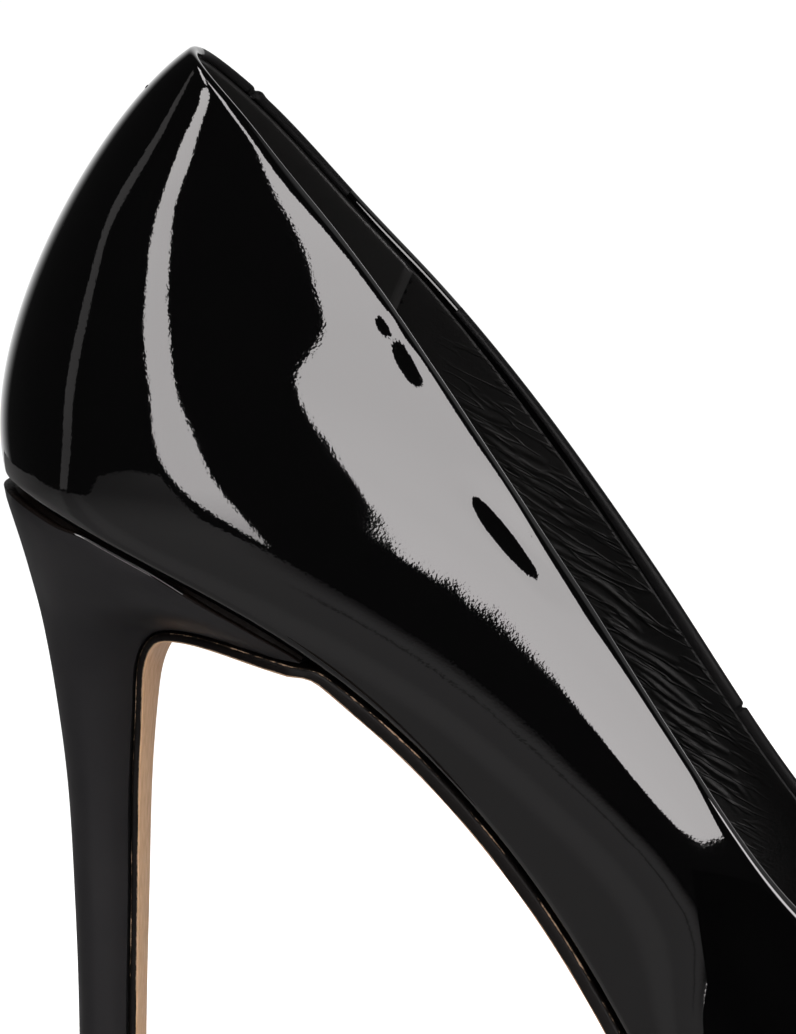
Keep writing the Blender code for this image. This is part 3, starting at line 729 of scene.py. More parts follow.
def wall_lines(at, levels):
    """Outer surface of the upper: an array of wall lines by levels by xyz."""
    s, y = outline(at)
    foot = bottom(s, y)
    top = crown(at)
    slope = np.interp(s, FINE, FINE_SLOPE)
    ahead = unit(np.stack(outline(at + 0.05), 1) - np.stack(outline(at - 0.05), 1))
    out = np.stack([ahead[:, 1] * np.cos(slope), -ahead[:, 0], -ahead[:, 1] * np.sin(slope)], 1)
    inside = bottom(np.clip(s, *INNER), LEAN * s)
    out *= -np.sign((out * (inside - foot)).sum(1, keepdims=True))
    reach = np.linalg.norm(top - foot, axis=1, keepdims=True)
    chord = (top - foot) / reach
    out = unit(out - chord * (out * chord).sum(1, keepdims=True))
    columns = {}
    for name in ("bow", "roll", "low", "high", "over"):
        values = column(ROWS, name)
        columns[name] = loop_spline(values, values, at, len(ROWS) - 1)[:, None]
    bow = np.radians(columns["bow"])
    roll = np.radians(columns["roll"])
    start = np.cos(bow) * chord + np.sin(bow) * out
    end = np.cos(roll) * chord - np.sin(roll) * out
    fan = np.clip((np.abs(at) - TAU[POLE]) / (TAU[-1] - TAU[POLE]), 0, 1)
    turn = np.where(fan > 0, np.pi / 2 * fan, 0.0)
    side = np.where(at < 0, 1.0, -1.0)
    level, dip = math.cos(TOE_FALL), math.sin(TOE_FALL)
    cross = np.stack([-np.sin(turn) * level, side * np.cos(turn), np.sin(turn) * dip], 1)
    over = np.clip(columns["over"], 0, 1)
    end = unit((1 - over) * end + over * cross)
    p0, p3 = foot[:, None], top[:, None]
    p1 = p0 + (columns["low"] * reach * start)[:, None]
    p2 = p3 - (columns["high"] * reach * end)[:, None]

    def run(t):
        return (1 - t) ** 3 * p0 + 3 * t * (1 - t) ** 2 * p1 + 3 * t**2 * (1 - t) * p2 + t**3 * p3

    share = cut_share(run(np.linspace(0, 1, 241)[None, :, None]), at)
    return run(np.asarray(levels)[None, :, None] * share[:, None, None])


counter = wall_lines(np.zeros(1), (0.0, 1.0))[0, :, 2]
print("counter is", round(float(counter[1] - counter[0]), 1), "mm high")

# %% Samples round the last


def side_samples(steps):
    """Values along one side with the same count between each two rows, and closer ones at the throat."""
    parts = []
    for i, (low, high) in enumerate(zip(TAU, TAU[1:])):
        share = np.linspace(0, 1, steps, endpoint=False)
        if i == THROAT - 1:
            share = 1 - (1 - np.linspace(0, 1, 2 * steps, endpoint=False)) ** 2
        parts.append(low + (high - low) * share)
    return np.concatenate(parts + [[TAU[-1]]])


def both_sides(one_side):
    return np.concatenate([-one_side[::-1], one_side[1:]])


print("wall lines run to", round(float(TAU[-1]), 1), "mm round each side")

# %% [markdown]
# ## Sheets and rounded edges
# Leather has no sharp edge: at the collar it is folded over, and at the sole it is drawn round the
# insole. A Solidify modifier with a bevel could round the edges, but the height of the fold changes along
# the rim. So each sheet is a grid of points here. Near an open edge the grid is drawn back by about the
# height of the fold, and a half round is set on the edge, so the shoe ends where the solid ends.

# %% Sheet helpers


def sheet_normals(grid):
    """Outward normals of a grid whose points may meet."""
    shape = grid.shape
    _, index = np.unique(np.round(grid.reshape(-1, 3), 3), axis=0, return_inverse=True)
    numbers = index.reshape(shape[:2])
    face = np.cross(grid[1:, 1:] - grid[:-1, :-1], grid[:-1, 1:] - grid[1:, :-1])
    total = np.zeros((numbers.max() + 1, 3))
    for corner in (numbers[:-1, :-1], numbers[1:, :-1], numbers[1:, 1:], numbers[:-1, 1:]):
        np.add.at(total, corner.reshape(-1), face.reshape(-1, 3))
    normals = unit(total)[numbers]
    lateral = normals[shape[0] // 4, shape[1] // 2, 1]
    return normals if lateral < 0 else -normals


def edge_away(points, normals, inside):
    """Unit vectors in the sheet, square to its closed edge and away from it."""
    ahead = unit(np.roll(points, -1, 0) - np.roll(points, 1, 0))
    away = unit(np.cross(ahead, normals))
    return away if (away * (points - inside)).sum() > 0 else -away


def drawn_back(grid, edge, away, amount, reach):
    """Moves the points of a sheet that are near an edge back from it."""
    points = grid.reshape(-1, 3)
    moved = points.copy()
    for some in np.array_split(np.arange(len(points)), 80):
        gaps = np.linalg.norm(points[some, None] - edge[None], axis=2)
        near = gaps.argmin(1)
        share = 1 - smooth(gaps.min(1) / reach)
        moved[some] -= away[near] * (amount[near] * share)[:, None]
    return moved.reshape(grid.shape)


def seated(grid, tree):
    """Points put back on a surface, each at its nearest place there."""
    found = [tree.find_nearest(Vector(p))[0] for p in grid.reshape(-1, 3)]
    return np.array(found).reshape(grid.shape)


def half_round(points, normals, away, radius, tall, steps):
    """Rows of points from the outer side of an edge over to the inner side; tall is given per point."""
    middle = points - normals * radius
    up = away * tall[:, None]
    turns = np.linspace(0, np.pi, steps + 1)
    return np.stack([middle + radius * normals * math.cos(t) + up * math.sin(t) for t in turns], 1)


print("sheet helpers ready")

# %% Faces of grids and tubes


def grid_faces(rows, columns, first=0, closed=False):
    wide = columns if closed else columns - 1
    i, j = np.meshgrid(np.arange(rows - 1), np.arange(wide), indexing="ij")
    k = (j + 1) % columns
    corners = [i * columns + j, i * columns + k, (i + 1) * columns + k, (i + 1) * columns + j]
    return np.stack(corners, -1).reshape(-1, 4) + first


def grids_joined(grids):
    """Points and faces of several grids in one list."""
    faces = []
    first = 0
    for grid in grids:
        faces.append(grid_faces(grid.shape[0], grid.shape[1], first))
        first += grid.shape[0] * grid.shape[1]
    return np.concatenate([grid.reshape(-1, 3) for grid in grids]), np.concatenate(faces)


def capped_faces(rows, columns):
    """Faces of a tube of closed rings, with one face at each end."""
    last = (rows - 1) * columns
    ends = [list(range(columns)), list(range(last, last + columns))[::-1]]
    return [list(f) for f in grid_faces(rows, columns, closed=True)] + ends


def add_piece(name, points, faces, looks, kinds=None, marks=None, sharp=None):
    """A mesh piece from table millimetres: doubles merged, faces turned out, smooth shading."""
    mesh = bpy.data.meshes.new(name)
    mesh.from_pydata(((np.asarray(points) - CENTRE) * MM).tolist(), [], [list(f) for f in faces])
    for look in looks:
        mesh.materials.append(look)
    if kinds is not None:
        mesh.polygons.foreach_set("material_index", np.asarray(kinds, np.int32))
    for mark, values in (marks or {}).items():
        stored = mesh.attributes.new(mark, "FLOAT", "POINT")
        stored.data.foreach_set("value", np.asarray(values, np.float32))
    shell = bmesh.new()
    shell.from_mesh(mesh)
    bmesh.ops.remove_doubles(shell, verts=shell.verts, dist=3e-6)
    bmesh.ops.dissolve_degenerate(shell, edges=shell.edges, dist=1e-7)
    bmesh.ops.recalc_face_normals(shell, faces=shell.faces)
    shell.to_mesh(mesh)
    shell.free()
    mesh.shade_smooth()
    if sharp:
        mesh.set_sharp_from_angle(angle=math.radians(sharp))
    piece = bpy.data.objects.new(name, mesh)
    SCENE.collection.objects.link(piece)
    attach(piece, "root")
    print(name, sum(len(face.vertices) - 2 for face in mesh.polygons), "triangles")
    return piece


print("mesh helpers ready")

# %% [markdown]
# ## Upper
# One skin of patent leather is drawn over the last. It could be the solid's own mesh, subdivided, but a
# mirror shows every facet, so the skin is laid afresh from wall lines that lie close together. Where it was
# handled it has small dents, which show as dark holes in the reflection; they are placed one by one as soft
# hollows on the lateral side. At the collar the leather is folded over. On the lateral side the fold is
# fuller in two places and at the throat, and on the medial side it grows towards the throat. The medial
# fold is rubbed to a satin gloss, except in one place. It has a join near the back, and the side seam
# crosses it further forward. At the sole the skin rolls under.

# %% Upper skin
SKIN_LINES = 18
SKIN_LEVELS = 72
JOIN = 19.8
SIDE_SEAM = 107.7
DENTED = (-84.0, -44.0)

near = both_sides(np.array((0.0, 0.15, 0.3, 0.45, 0.65, 0.9, 1.2, 1.6)))
one_side = side_samples(SKIN_LINES)
medial = np.concatenate([one_side, JOIN + near, SIDE_SEAM + near])
lateral = np.concatenate([-one_side, np.arange(*DENTED, 0.5)])
at = np.unique(np.round(np.concatenate([lateral, medial]), 3))
skin = wall_lines(at, np.linspace(0, 1, SKIN_LEVELS + 1))
skin_normals = sheet_normals(skin)
skin_tree = BVHTree.FromPolygons(skin.reshape(-1, 3).tolist(), grid_faces(*skin.shape[:2]).tolist())
rim = np.nonzero(np.abs(at) <= TAU[THROAT] + 1e-3)[0]
collar = rim[:-1]
collar_away = edge_away(skin[collar, -1], skin_normals[collar, -1], skin[collar, -9])
foot_away = edge_away(skin[:-1, 0], skin_normals[:-1, 0], skin[:-1, 8])
foot_away = np.concatenate([foot_away, foot_away[:1]])
print("skin of", skin.shape[0], "lines by", skin.shape[1], "levels")

# %% Dents
Dent = namedtuple("Dent", "x z turn long above below depth")
DENTS = [
    Dent(54.9, 128.5, -58, 2.6, 2.4, 2.1, 0.13),
    Dent(58.8, 123.3, -58, 7.6, 3.2, 3.1, 0.24),
    Dent(72.6, 100.5, -49, 14.0, 3.6, 3.4, 0.58),
]


def dented(points):
    """Depth of the hollows on the lateral side, each with its own width above and below its middle."""
    depth = np.zeros(points.shape[:-1])
    for dent in DENTS:
        turn = math.radians(dent.turn)
        ahead, up = points[..., 0] - dent.x, points[..., 2] - dent.z
        along = (ahead * math.cos(turn) + up * math.sin(turn)) / dent.long
        over = up * math.cos(turn) - ahead * math.sin(turn)
        over = np.where(over > 0, over / dent.above, -over / dent.below)
        depth += dent.depth * (1 - smooth(over)) * (1 - smooth(np.abs(along))) * (points[..., 1] < 0)
    return depth


print(len(DENTS), "dents")

# %% Height of the fold
FOLD = WALL / 2
FOLD_REACH = 7.0
FOLD_STEPS = 12
LOW_FOLD = 0.75
NEAR_FOLD = 0.95
FULLER = 0.75
BACK = 12

ahead = skin[rim, -1, 0]
near_tall = NEAR_FOLD + FULLER * (bulge(ahead, 42, 5) + bulge(ahead, 80, 6))
near_tall += FULLER * smooth((ahead - 95) / 6)
far_tall = LOW_FOLD + 0.95 * smooth((ahead - 66) / 26)
back_tall = LOW_FOLD + (NEAR_FOLD - LOW_FOLD) * smooth(-at[rim] / BACK)
fold_tall = np.where(at[rim] < 0, near_tall, far_tall)
fold_tall = np.where(np.abs(at[rim]) < BACK, back_tall, fold_tall)
near_lift = 0.4 * smooth((ahead - 38) / 10) * (1 - smooth((ahead - 76) / 16))
far_lift = 0.75 * smooth((ahead - 48) / 24) * (1 - 0.7 * smooth((ahead - 84) / 20))
lift = np.where(at[rim] < 0, near_lift, far_lift)
print("fold from", round(float(fold_tall.min()), 2), "to", round(float(fold_tall.max()), 2), "mm high")

# %% Skin with its edges drawn back
FOOT_REACH = 5.0
SEAM_DEPTH = 0.22
SEAM_WIDTH = 0.28

pulled = drawn_back(skin, skin[collar, -1], collar_away, (fold_tall - lift)[:-1], FOLD_REACH)
run = np.cumsum(np.linalg.norm(np.diff(skin, axis=1), axis=2), 1)
run = np.concatenate([np.zeros((len(at), 1)), run], 1)
pulled -= foot_away[:, None] * (FOLD * (1 - smooth(run / FOOT_REACH)))[..., None]
pulled = seated(pulled, skin_tree)
seam = SEAM_DEPTH * bulge(at, SIDE_SEAM, SEAM_WIDTH)
outer = pulled - skin_normals * (dented(pulled) + seam[:, None])[..., None]
inner_levels = np.unique(np.round(np.linspace(0, SKIN_LEVELS, 15)).astype(int))
inner = (pulled - skin_normals * WALL)[:, inner_levels]
print("deepest dent", round(float(dented(pulled).max()), 2), "mm")

# %% Folded edges
rim_normals = skin_normals[rim, -1]
rim_away = edge_away(pulled[collar, -1], skin_normals[collar, -1], pulled[collar, -9])
rim_away = np.concatenate([rim_away, rim_away[:1]])
squeeze = np.ones(len(rim))
squeeze -= 0.38 * bulge(at[rim], JOIN, 0.32)
squeeze += 0.25 * bulge(at[rim], JOIN + 1.0, 0.5)
squeeze -= 0.31 * bulge(at[rim], SIDE_SEAM, SEAM_WIDTH)
middle = (pulled[rim, -1] - rim_normals * FOLD)[:, None]
fold_rows = half_round(pulled[rim, -1], rim_normals, rim_away, FOLD, fold_tall, FOLD_STEPS)
fold_rows[:, 1:-1] = (middle + (fold_rows - middle) * squeeze[:, None, None])[:, 1:-1]
fold_rows[:, :-1] -= (rim_normals * dented(pulled[rim, -1])[:, None])[:, None]
fold_rows[:, 0] = outer[rim, -1]
foot_rows = half_round(pulled[:, 0], skin_normals[:, 0], foot_away, FOLD, np.full(len(at), FOLD), 8)
foot_rows[:, 0] = outer[:, 0]
print("fold of", fold_rows.shape[0], "by", fold_rows.shape[1], "points")

# %% Upper piece
GLINT = (35.0, 54.6)
RUBBED_FROM = 4

points, faces = grids_joined([outer, inner, fold_rows, foot_rows])
place = at[rim][:-1]
rubbed = (place > RUBBED_FROM) & ((place < GLINT[0]) | (place > GLINT[1]))
satin = np.repeat(rubbed[:, None], FOLD_STEPS, 1)
first = (len(at) - 1) * (outer.shape[1] + inner.shape[1] - 2)
kinds = np.zeros(len(faces), int)
kinds[first : first + satin.size] = satin.reshape(-1)
upper = add_piece("upper_patent", points, faces, [PATENT, FOLD_PATENT], kinds)
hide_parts("upper")

# %% [markdown]
# ## Lining
# The lining is a second sheet inside the upper. It stops below the fold, so a dark strip of patent shows
# along the collar, as on the real shoe. Round the heel a smoother grip is laid over it; its edge is a
# small step with stitches. In front of that the kid has creased into ripples, which run slanting down
# towards the toe. Each ripple is a soft ridge through three points, given one by one on the medial side.
# The lateral side, which the camera can't see, has the same ones lower down and flatter.

# %% Ripples
Ripple = namedtuple("Ripple", "x1 z1 x2 z2 x3 z3 height")
RIPPLES = [
    Ripple(57.8, 115.4, 62.1, 113.3, 67.4, 111.6, 0.16), Ripple(59.1, 113.4, 64.2, 110.0, 69.9, 107.3, 0.22),
    Ripple(61.4, 110.7, 65.8, 107.4, 73.3, 103.8, 0.24), Ripple(63.6, 107.6, 68.8, 104.0, 74.9, 101.2, 0.22),
    Ripple(65.6, 104.5, 70.8, 101.2, 76.7, 99.4, 0.20), Ripple(67.9, 101.2, 73.0, 98.7, 78.0, 97.6, 0.16),
    Ripple(69.6, 97.5, 75.0, 94.6, 82.2, 91.5, 0.24), Ripple(70.9, 95.4, 77.0, 92.4, 83.0, 90.2, 0.18),
    Ripple(72.4, 93.5, 78.2, 90.2, 84.4, 85.3, 0.26), Ripple(74.5, 90.2, 79.4, 87.2, 82.6, 84.4, 0.16),
    Ripple(78.0, 85.5, 82.8, 82.4, 87.9, 80.3, 0.22), Ripple(79.7, 82.7, 85.0, 80.0, 90.4, 76.2, 0.26),
    Ripple(80.6, 80.6, 85.4, 77.6, 90.3, 73.9, 0.20), Ripple(82.6, 78.4, 86.6, 75.3, 91.2, 72.9, 0.24),
    Ripple(84.4, 75.7, 88.1, 73.1, 92.5, 70.9, 0.20), Ripple(86.3, 73.0, 90.0, 70.4, 94.8, 68.1, 0.26),
    Ripple(87.6, 70.2, 91.4, 67.5, 95.7, 65.4, 0.20), Ripple(89.1, 67.6, 93.3, 64.9, 97.6, 62.9, 0.22),
    Ripple(90.7, 64.8, 93.0, 63.0, 95.4, 61.2, 0.16), Ripple(66.0, 99.2, 69.5, 96.0, 73.0, 94.0, 0.14),
]
RIPPLE_RISE = 1.3
RIPPLE_WIDTH = 0.32
LATERAL_SHARE = 0.7
LATERAL_DROP = 3.2


def rippled(points):
    """Height of the ripples over the lining, on both sides of the shoe."""
    flat = points[..., [0, 2]]
    side = np.where(points[..., 1] > 0, 1.0, LATERAL_SHARE)
    drop = np.where(points[..., 1] > 0, 0.0, LATERAL_DROP)
    flat = flat + np.stack([0 * drop, drop], -1)
    total = np.zeros(points.shape[:-1])
    for ripple in RIPPLES:
        knees = np.array(ripple[:6]).reshape(3, 2)
        best = np.full(total.shape, 1e9)
        along = np.zeros(total.shape)
        for k in range(2):
            way = knees[k + 1] - knees[k]
            share = np.clip(((flat - knees[k]) * way).sum(-1) / (way @ way), 0, 1)
            gap = np.linalg.norm(flat - knees[k] - share[..., None] * way, axis=-1)
            along = np.where(gap < best, (k + share) / 2, along)
            best = np.minimum(best, gap)
        taper = np.sin(np.pi * np.clip(along * 0.86 + 0.07, 0, 1)) ** 0.5
        total += RIPPLE_RISE * ripple.height * taper * bulge(best, 0, RIPPLE_WIDTH)
    return total * side


print(len(RIPPLES), "ripples")

# %% Lining sheet
LINING_LINES = 9
LINING_LEVELS = 128
LINING_FOOT = 0.015
LINING_DROP = 0.95
LINING_REACH = 15.0
CREASED = (56.0, 116.0)
GRIP_END = 47.3
GRIP_THICK = 0.3
GRIP_BEAD = 0.16

band = GRIP_END + np.linspace(-1.4, 0.6, 9)
lining_at = [both_sides(side_samples(LINING_LINES)), np.arange(*CREASED, 0.45), band, -band]
lining_at = np.unique(np.round(np.concatenate(lining_at), 3))
sheet = wall_lines(lining_at, np.linspace(LINING_FOOT, 1, LINING_LEVELS + 1))
sheet_out = sheet_normals(sheet)
drop = np.full(len(collar), LINING_DROP)
lined = seated(drawn_back(sheet, skin[collar, -1], collar_away, drop, LINING_REACH), skin_tree)
from_seam = np.abs(lining_at) - GRIP_END
step = GRIP_THICK * (1 - smooth(from_seam / 0.5)) + GRIP_BEAD * bulge(from_seam, -0.5, 0.4)
print("lining of", lined.shape[0], "lines by", lined.shape[1], "levels")

# %% Lining piece
EDGE_THICK = 0.14
PLUMP = 0.24
TURN_IN = 3.0
BEHIND = 0.02

depths = np.cumsum(np.linalg.norm(np.diff(lined, axis=1), axis=2)[:, ::-1], 1)[:, ::-1]
depths = np.concatenate([depths, np.zeros((len(lining_at), 1))], 1)
below_collar = (np.abs(lining_at) <= TAU[THROAT])[:, None]
turned = np.where(below_collar, np.clip(1 - depths / TURN_IN, 0, 1), 0.0)
raised = WALL + EDGE_THICK + PLUMP * np.sqrt(1 - turned**2) + step[:, None] + rippled(lined)
face = lined - sheet_out * raised[..., None]
behind = (lined - sheet_out * (WALL + BEHIND))[:, ::8]
open_top = np.nonzero(np.abs(lining_at) <= TAU[THROAT] + 1e-3)[0]
top_strip = np.stack([face[open_top, -1], behind[open_top, -1]], 1)
low_strip = np.stack([face[:, 0], behind[:, 0]], 1)
points, faces = grids_joined([face, behind, top_strip, low_strip])
kinds = np.zeros(len(faces), int)
leather = (from_seam[:-1] < 0.3).astype(int) + (np.abs(from_seam[:-1] + 0.4) < 0.7)
kinds[: (len(lining_at) - 1) * LINING_LEVELS] = np.repeat(leather, LINING_LEVELS)
lining = add_piece("lining", points, faces, [LINING_KID, GRIP_KID, GRIP_EDGE], kinds)

# %% [markdown]
# ## Grip stitches
# The edge of the heel grip is sewn down with small black stitches. A row of stitches is one shape
# repeated along a path, which is what Geometry Nodes do best: the path becomes a curve, points are set
# along it at the pitch, and a small bead stretched along the path is placed on each.

# %% Stitch tree


def stitch_tree(look):
    tree = bpy.data.node_groups.new("stitch_row", "GeometryNodeTree")
    tree.interface.new_socket("Path", in_out="INPUT", socket_type="NodeSocketGeometry")
    sizes = {}
    for name, value in (("Pitch", 0.0016), ("Length", 0.0011), ("Width", 0.0003)):
        socket = tree.interface.new_socket(name, in_out="INPUT", socket_type="NodeSocketFloat")
        socket.default_value = value
        sizes[name] = socket.identifier
    tree.interface.new_socket("Stitches", in_out="OUTPUT", socket_type="NodeSocketGeometry")
    group = tree.nodes.new("NodeGroupInput")
    path, pitch, length, width = [Wire(tree, group.outputs[k]) for k in range(4)]
    curve = path.node("GeometryNodeMeshToCurve", None, {"Mesh": path})
    dots = tree.nodes.new("GeometryNodeCurveToPoints")
    dots.mode = "LENGTH"
    tree.links.new(curve.socket, dots.inputs["Curve"])
    tree.links.new(pitch.socket, dots.inputs["Length"])
    tangent = Wire(tree, dots.outputs["Tangent"])
    turn = path.node("FunctionNodeAlignRotationToVector", {"axis": "X"}, {"Vector": tangent})
    bead = path.node("GeometryNodeMeshUVSphere", None, {"Segments": 8, "Rings": 6, "Radius": 0.5})
    size = path.node("ShaderNodeCombineXYZ", None, {0: length, 1: width, 2: width})
    spots = Wire(tree, dots.outputs["Points"])
    links = {"Points": spots, "Instance": bead, "Rotation": turn, "Scale": size}
    copies = path.node("GeometryNodeInstanceOnPoints", None, links)
    whole = path.node("GeometryNodeRealizeInstances", None, {"Geometry": copies})
    finished = path.node("GeometryNodeSetMaterial", None, {"Geometry": whole, "Material": look})
    result = tree.nodes.new("NodeGroupOutput")
    tree.links.new(finished.socket, result.inputs[0])
    return tree, sizes


STITCHES, STITCH_SIZES = stitch_tree(THREAD)
print("stitch tree of", len(STITCHES.nodes), "nodes")

# %% Grip stitches
STITCH_LINE = 0.7
STITCH_PITCH = 1.7
STITCH_LENGTH = 1.0
STITCH_WIDTH = 0.44


def stitch_row(name, paths, pitch, length, width):
    """Stitches along paths given in table millimetres, as one plain mesh."""
    points = np.concatenate(paths)
    edges = []
    first = 0
    for path in paths:
        edges += [(first + k, first + k + 1) for k in range(len(path) - 1)]
        first += len(path)
    guide = bpy.data.meshes.new(name + "_path")
    guide.from_pydata(((points - CENTRE) * MM).tolist(), edges, [])
    sewn = bpy.data.objects.new(name, guide)
    SCENE.collection.objects.link(sewn)
    maker = sewn.modifiers.new("stitches", "NODES")
    maker.node_group = STITCHES
    for size, value in (("Pitch", pitch), ("Length", length), ("Width", width)):
        maker[STITCH_SIZES[size]] = value * MM
    graph = bpy.context.evaluated_depsgraph_get()
    mesh = bpy.data.meshes.new_from_object(sewn.evaluated_get(graph))
    sewn.modifiers.remove(maker)
    sewn.data = mesh
    mesh.shade_smooth()
    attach(sewn, "root")
    print(name, len(mesh.polygons), "faces")
    return sewn


seams = []
for place in (-GRIP_END - STITCH_LINE, GRIP_END + STITCH_LINE):
    k = int(np.abs(lining_at - place).argmin())
    seams.append(face[k, 8 : LINING_LEVELS - 3])
grip_stitches = stitch_row("grip_stitches", seams, STITCH_PITCH, STITCH_LENGTH, STITCH_WIDTH)

# %% [markdown]
# ## Thread end
# The closing stitch of the back seam ends in a tiny loop of thread that stands off the counter. A bevelled
# curve would do, but a ring of points needs no conversion. It is half sunk in the leather.

# %% Thread loop
LOOP = np.array((19.7, -3.0, 157.6))
LOOP_RADIUS = 0.5
LOOP_TALL = 1.25
LOOP_THREAD = 0.09


def tube(path, radius, sides=8):
    """Points round a path that lies about square to the line of sight, one ring for each path point."""
    ahead = unit(np.gradient(path, axis=0))
    across = unit(np.cross(ahead, bearing(AZIMUTH, 0.0)))
    other = np.cross(ahead, across)
    turns = np.linspace(0, 2 * np.pi, sides, endpoint=False)
    around = [across * math.cos(t) + other * math.sin(t) for t in turns]
    return path[:, None] + np.stack(around, 1) * np.broadcast_to(radius, len(path))[:, None, None]


turns = np.linspace(0, 2 * np.pi, 33)
side = np.array((math.cos(math.radians(AZIMUTH)), math.sin(math.radians(AZIMUTH)), 0.0))
up = np.array((0.0, 0.0, LOOP_TALL))
hoop = LOOP + LOOP_RADIUS * (np.cos(turns)[:, None] * side + np.sin(turns)[:, None] * up)
rings = tube(hoop, LOOP_THREAD)
faces = grid_faces(*rings.shape[:2], closed=True)
thread_end = add_piece("thread_end", rings.reshape(-1, 3), faces, [THREAD])

# %% [markdown]
# ## Ink bead
# When the sole's edge was inked, a thin bead of ink ran along the waist half a millimetre up the quarter and
# dried there dull and brown. A stripe in the finish would look flat beside the mirror, so it is a fine
# tube half sunk in the skin, which comes down to the sole as it goes forward and thins out at its ends.

# %% Ink bead
BEAD_FROM = 46.0
BEAD_TO = 79.0
BEAD = 0.14
BEAD_LOW = 0.05
BEAD_HIGH = 0.5
BEAD_TAPER = 6

foot_s = outline(at)[0]
beaded = np.nonzero((at < 0) & (foot_s > BEAD_FROM) & (foot_s < BEAD_TO))[0]
heights = BEAD_HIGH - (BEAD_HIGH - BEAD_LOW) * smooth((foot_s[beaded] - 52) / 26)
bead = []
for k, height in zip(beaded, heights):
    climb = np.concatenate([[0], np.cumsum(np.linalg.norm(np.diff(outer[k], axis=0), axis=1))])
    bead.append([np.interp(height, climb, outer[k, :, axis]) for axis in range(3)])
ends = np.minimum(foot_s[beaded] - BEAD_FROM, BEAD_TO - foot_s[beaded])
rings = tube(np.array(bead), BEAD * (0.25 + 0.75 * smooth(ends / BEAD_TAPER)))
faces = grid_faces(*rings.shape[:2], closed=True)
ink_bead = add_piece("ink_bead", rings.reshape(-1, 3), faces, [TUCKED_EDGE])

# %% [markdown]
# ## Insole
# The sock covers the insole from heel to toe. It is a thin pad with a soft edge, so its cross-section is
# nearly flat and falls away only beside the lining. It follows the bottom of the last, as the sole and the
# heel do, so the helpers for edges of the bottom come first.

# %% Edges of the bottom


def offset_outline(at, out):
    """The edge of the bottom moved outwards by out, as (distance along the bottom, y)."""
    s, y = outline(at)
    ahead = unit(np.stack(outline(at + 0.05), 1) - np.stack(outline(at - 0.05), 1))
    return s - ahead[:, 1] * out, y + ahead[:, 0] * out


def edge_pair(at, inset, rise):
    """Lateral and medial edge points, moved inwards by inset and lifted by rise."""
    pair = []
    for sign in (-1, 1):
        s, y = offset_outline(sign * at, -inset)
        pair.append(bottom(s, y, rise))
    return pair


def place_at(s):
    """Loop value where the outline has the distance s along the bottom."""
    at = np.linspace(0, TAU[-1], 4001)
    return np.interp(s, np.maximum.accumulate(outline(at)[0]), at)


print("bottom is", SOLE_LENGTH, "mm along its curve")

# %% Insole piece
SOCK_LINES = 12
SOCK_EASE = 0.45


def build_insole():
    at = side_samples(SOCK_LINES)
    inset = WALL + GAP
    left = np.stack(offset_outline(-at, -inset), 1)
    right = np.stack(offset_outline(at, -inset), 1)
    share = (1 - np.cos(np.linspace(0, np.pi, 19))) / 2
    rows = []
    for u in share:
        s, y = (left + (right - left) * u).T
        rows.append(bottom(s, y, INSOLE - SOCK_EASE * abs(2 * u - 1) ** 14))
    for u in share[::-1]:
        s, y = (left + (right - left) * u).T
        rows.append(bottom(s, y, 0.0))
    rings = np.stack(rows, 1)
    count = rings.shape[1]
    faces = [list(f) for f in grid_faces(len(at), count, closed=True)]
    for first, turn in ((0, 1), ((len(at) - 1) * count, -1)):
        half = count // 2
        for k in range(half - 1):
            quad = [first + k, first + k + 1, first + count - 2 - k, first + count - 1 - k]
            faces.append(quad[::turn])
    piece = add_piece("insole_sock", rings.reshape(-1, 3), faces, [SOCK_KID], sharp=50)
    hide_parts("insole")
    return piece


build_insole()

# %% [markdown]
# ## Heel
# The heel is a moulded core covered in the same patent as the upper. Its top edge is rounded where the
# cover is tucked in. At the back and towards the tips of the wings a groove opens under the upper, and
# the tucked edge in it is dull and brownish. Between those places the rolled edge is glossy. A lathe form
# would be too round, so the heel is a stack of rings: its levels come from the table of back edge, breast
# and half widths, run through smooth curves.

# %% Heel levels
HEEL_STEPS = 9


def heel_levels():
    """The table of the heel made fine: a column per name, and the share of the way down."""
    breast = np.stack([column(LEVELS, "breast_x"), column(LEVELS, "breast_z")], 1)
    knots = np.concatenate([[0], np.cumsum(np.linalg.norm(np.diff(breast, axis=0), axis=1) ** 0.7)])
    steps = [np.linspace(a, b, HEEL_STEPS, endpoint=False) for a, b in zip(knots, knots[1:])]
    at = np.append(np.concatenate(steps), knots[-1])
    fine = {name: spline(knots, column(LEVELS, name), at) for name in Level._fields}
    return fine, at / knots[-1]


def heel_ring(line, lateral, medial):
    """Points round one level of the heel, from the lateral end of the breast to the medial end."""
    one = np.stack([line[:, 0], -lateral, line[:, 1]], 1)
    two = np.stack([line[:, 0], medial, line[:, 1]], 1)
    return np.concatenate([one[::-1], two[1:]])


print("heel of", len(heel_levels()[1]), "levels")

# %% Heel piece
HEEL_SIDE = 56
WING_TIP = 49.5
TUCK = 7
TUCK_TURN = 84
COVER_INSET = 0.2
SEAT_INSET = 1.8
GROOVE_INSET = 1.6
TUCKED_LEVELS = 4
GLOSSY_EDGE = (15, 33)
STEM_BACK = 0.5
SAG = 0.9
GROOVE = 0.7
CURL = 0.5


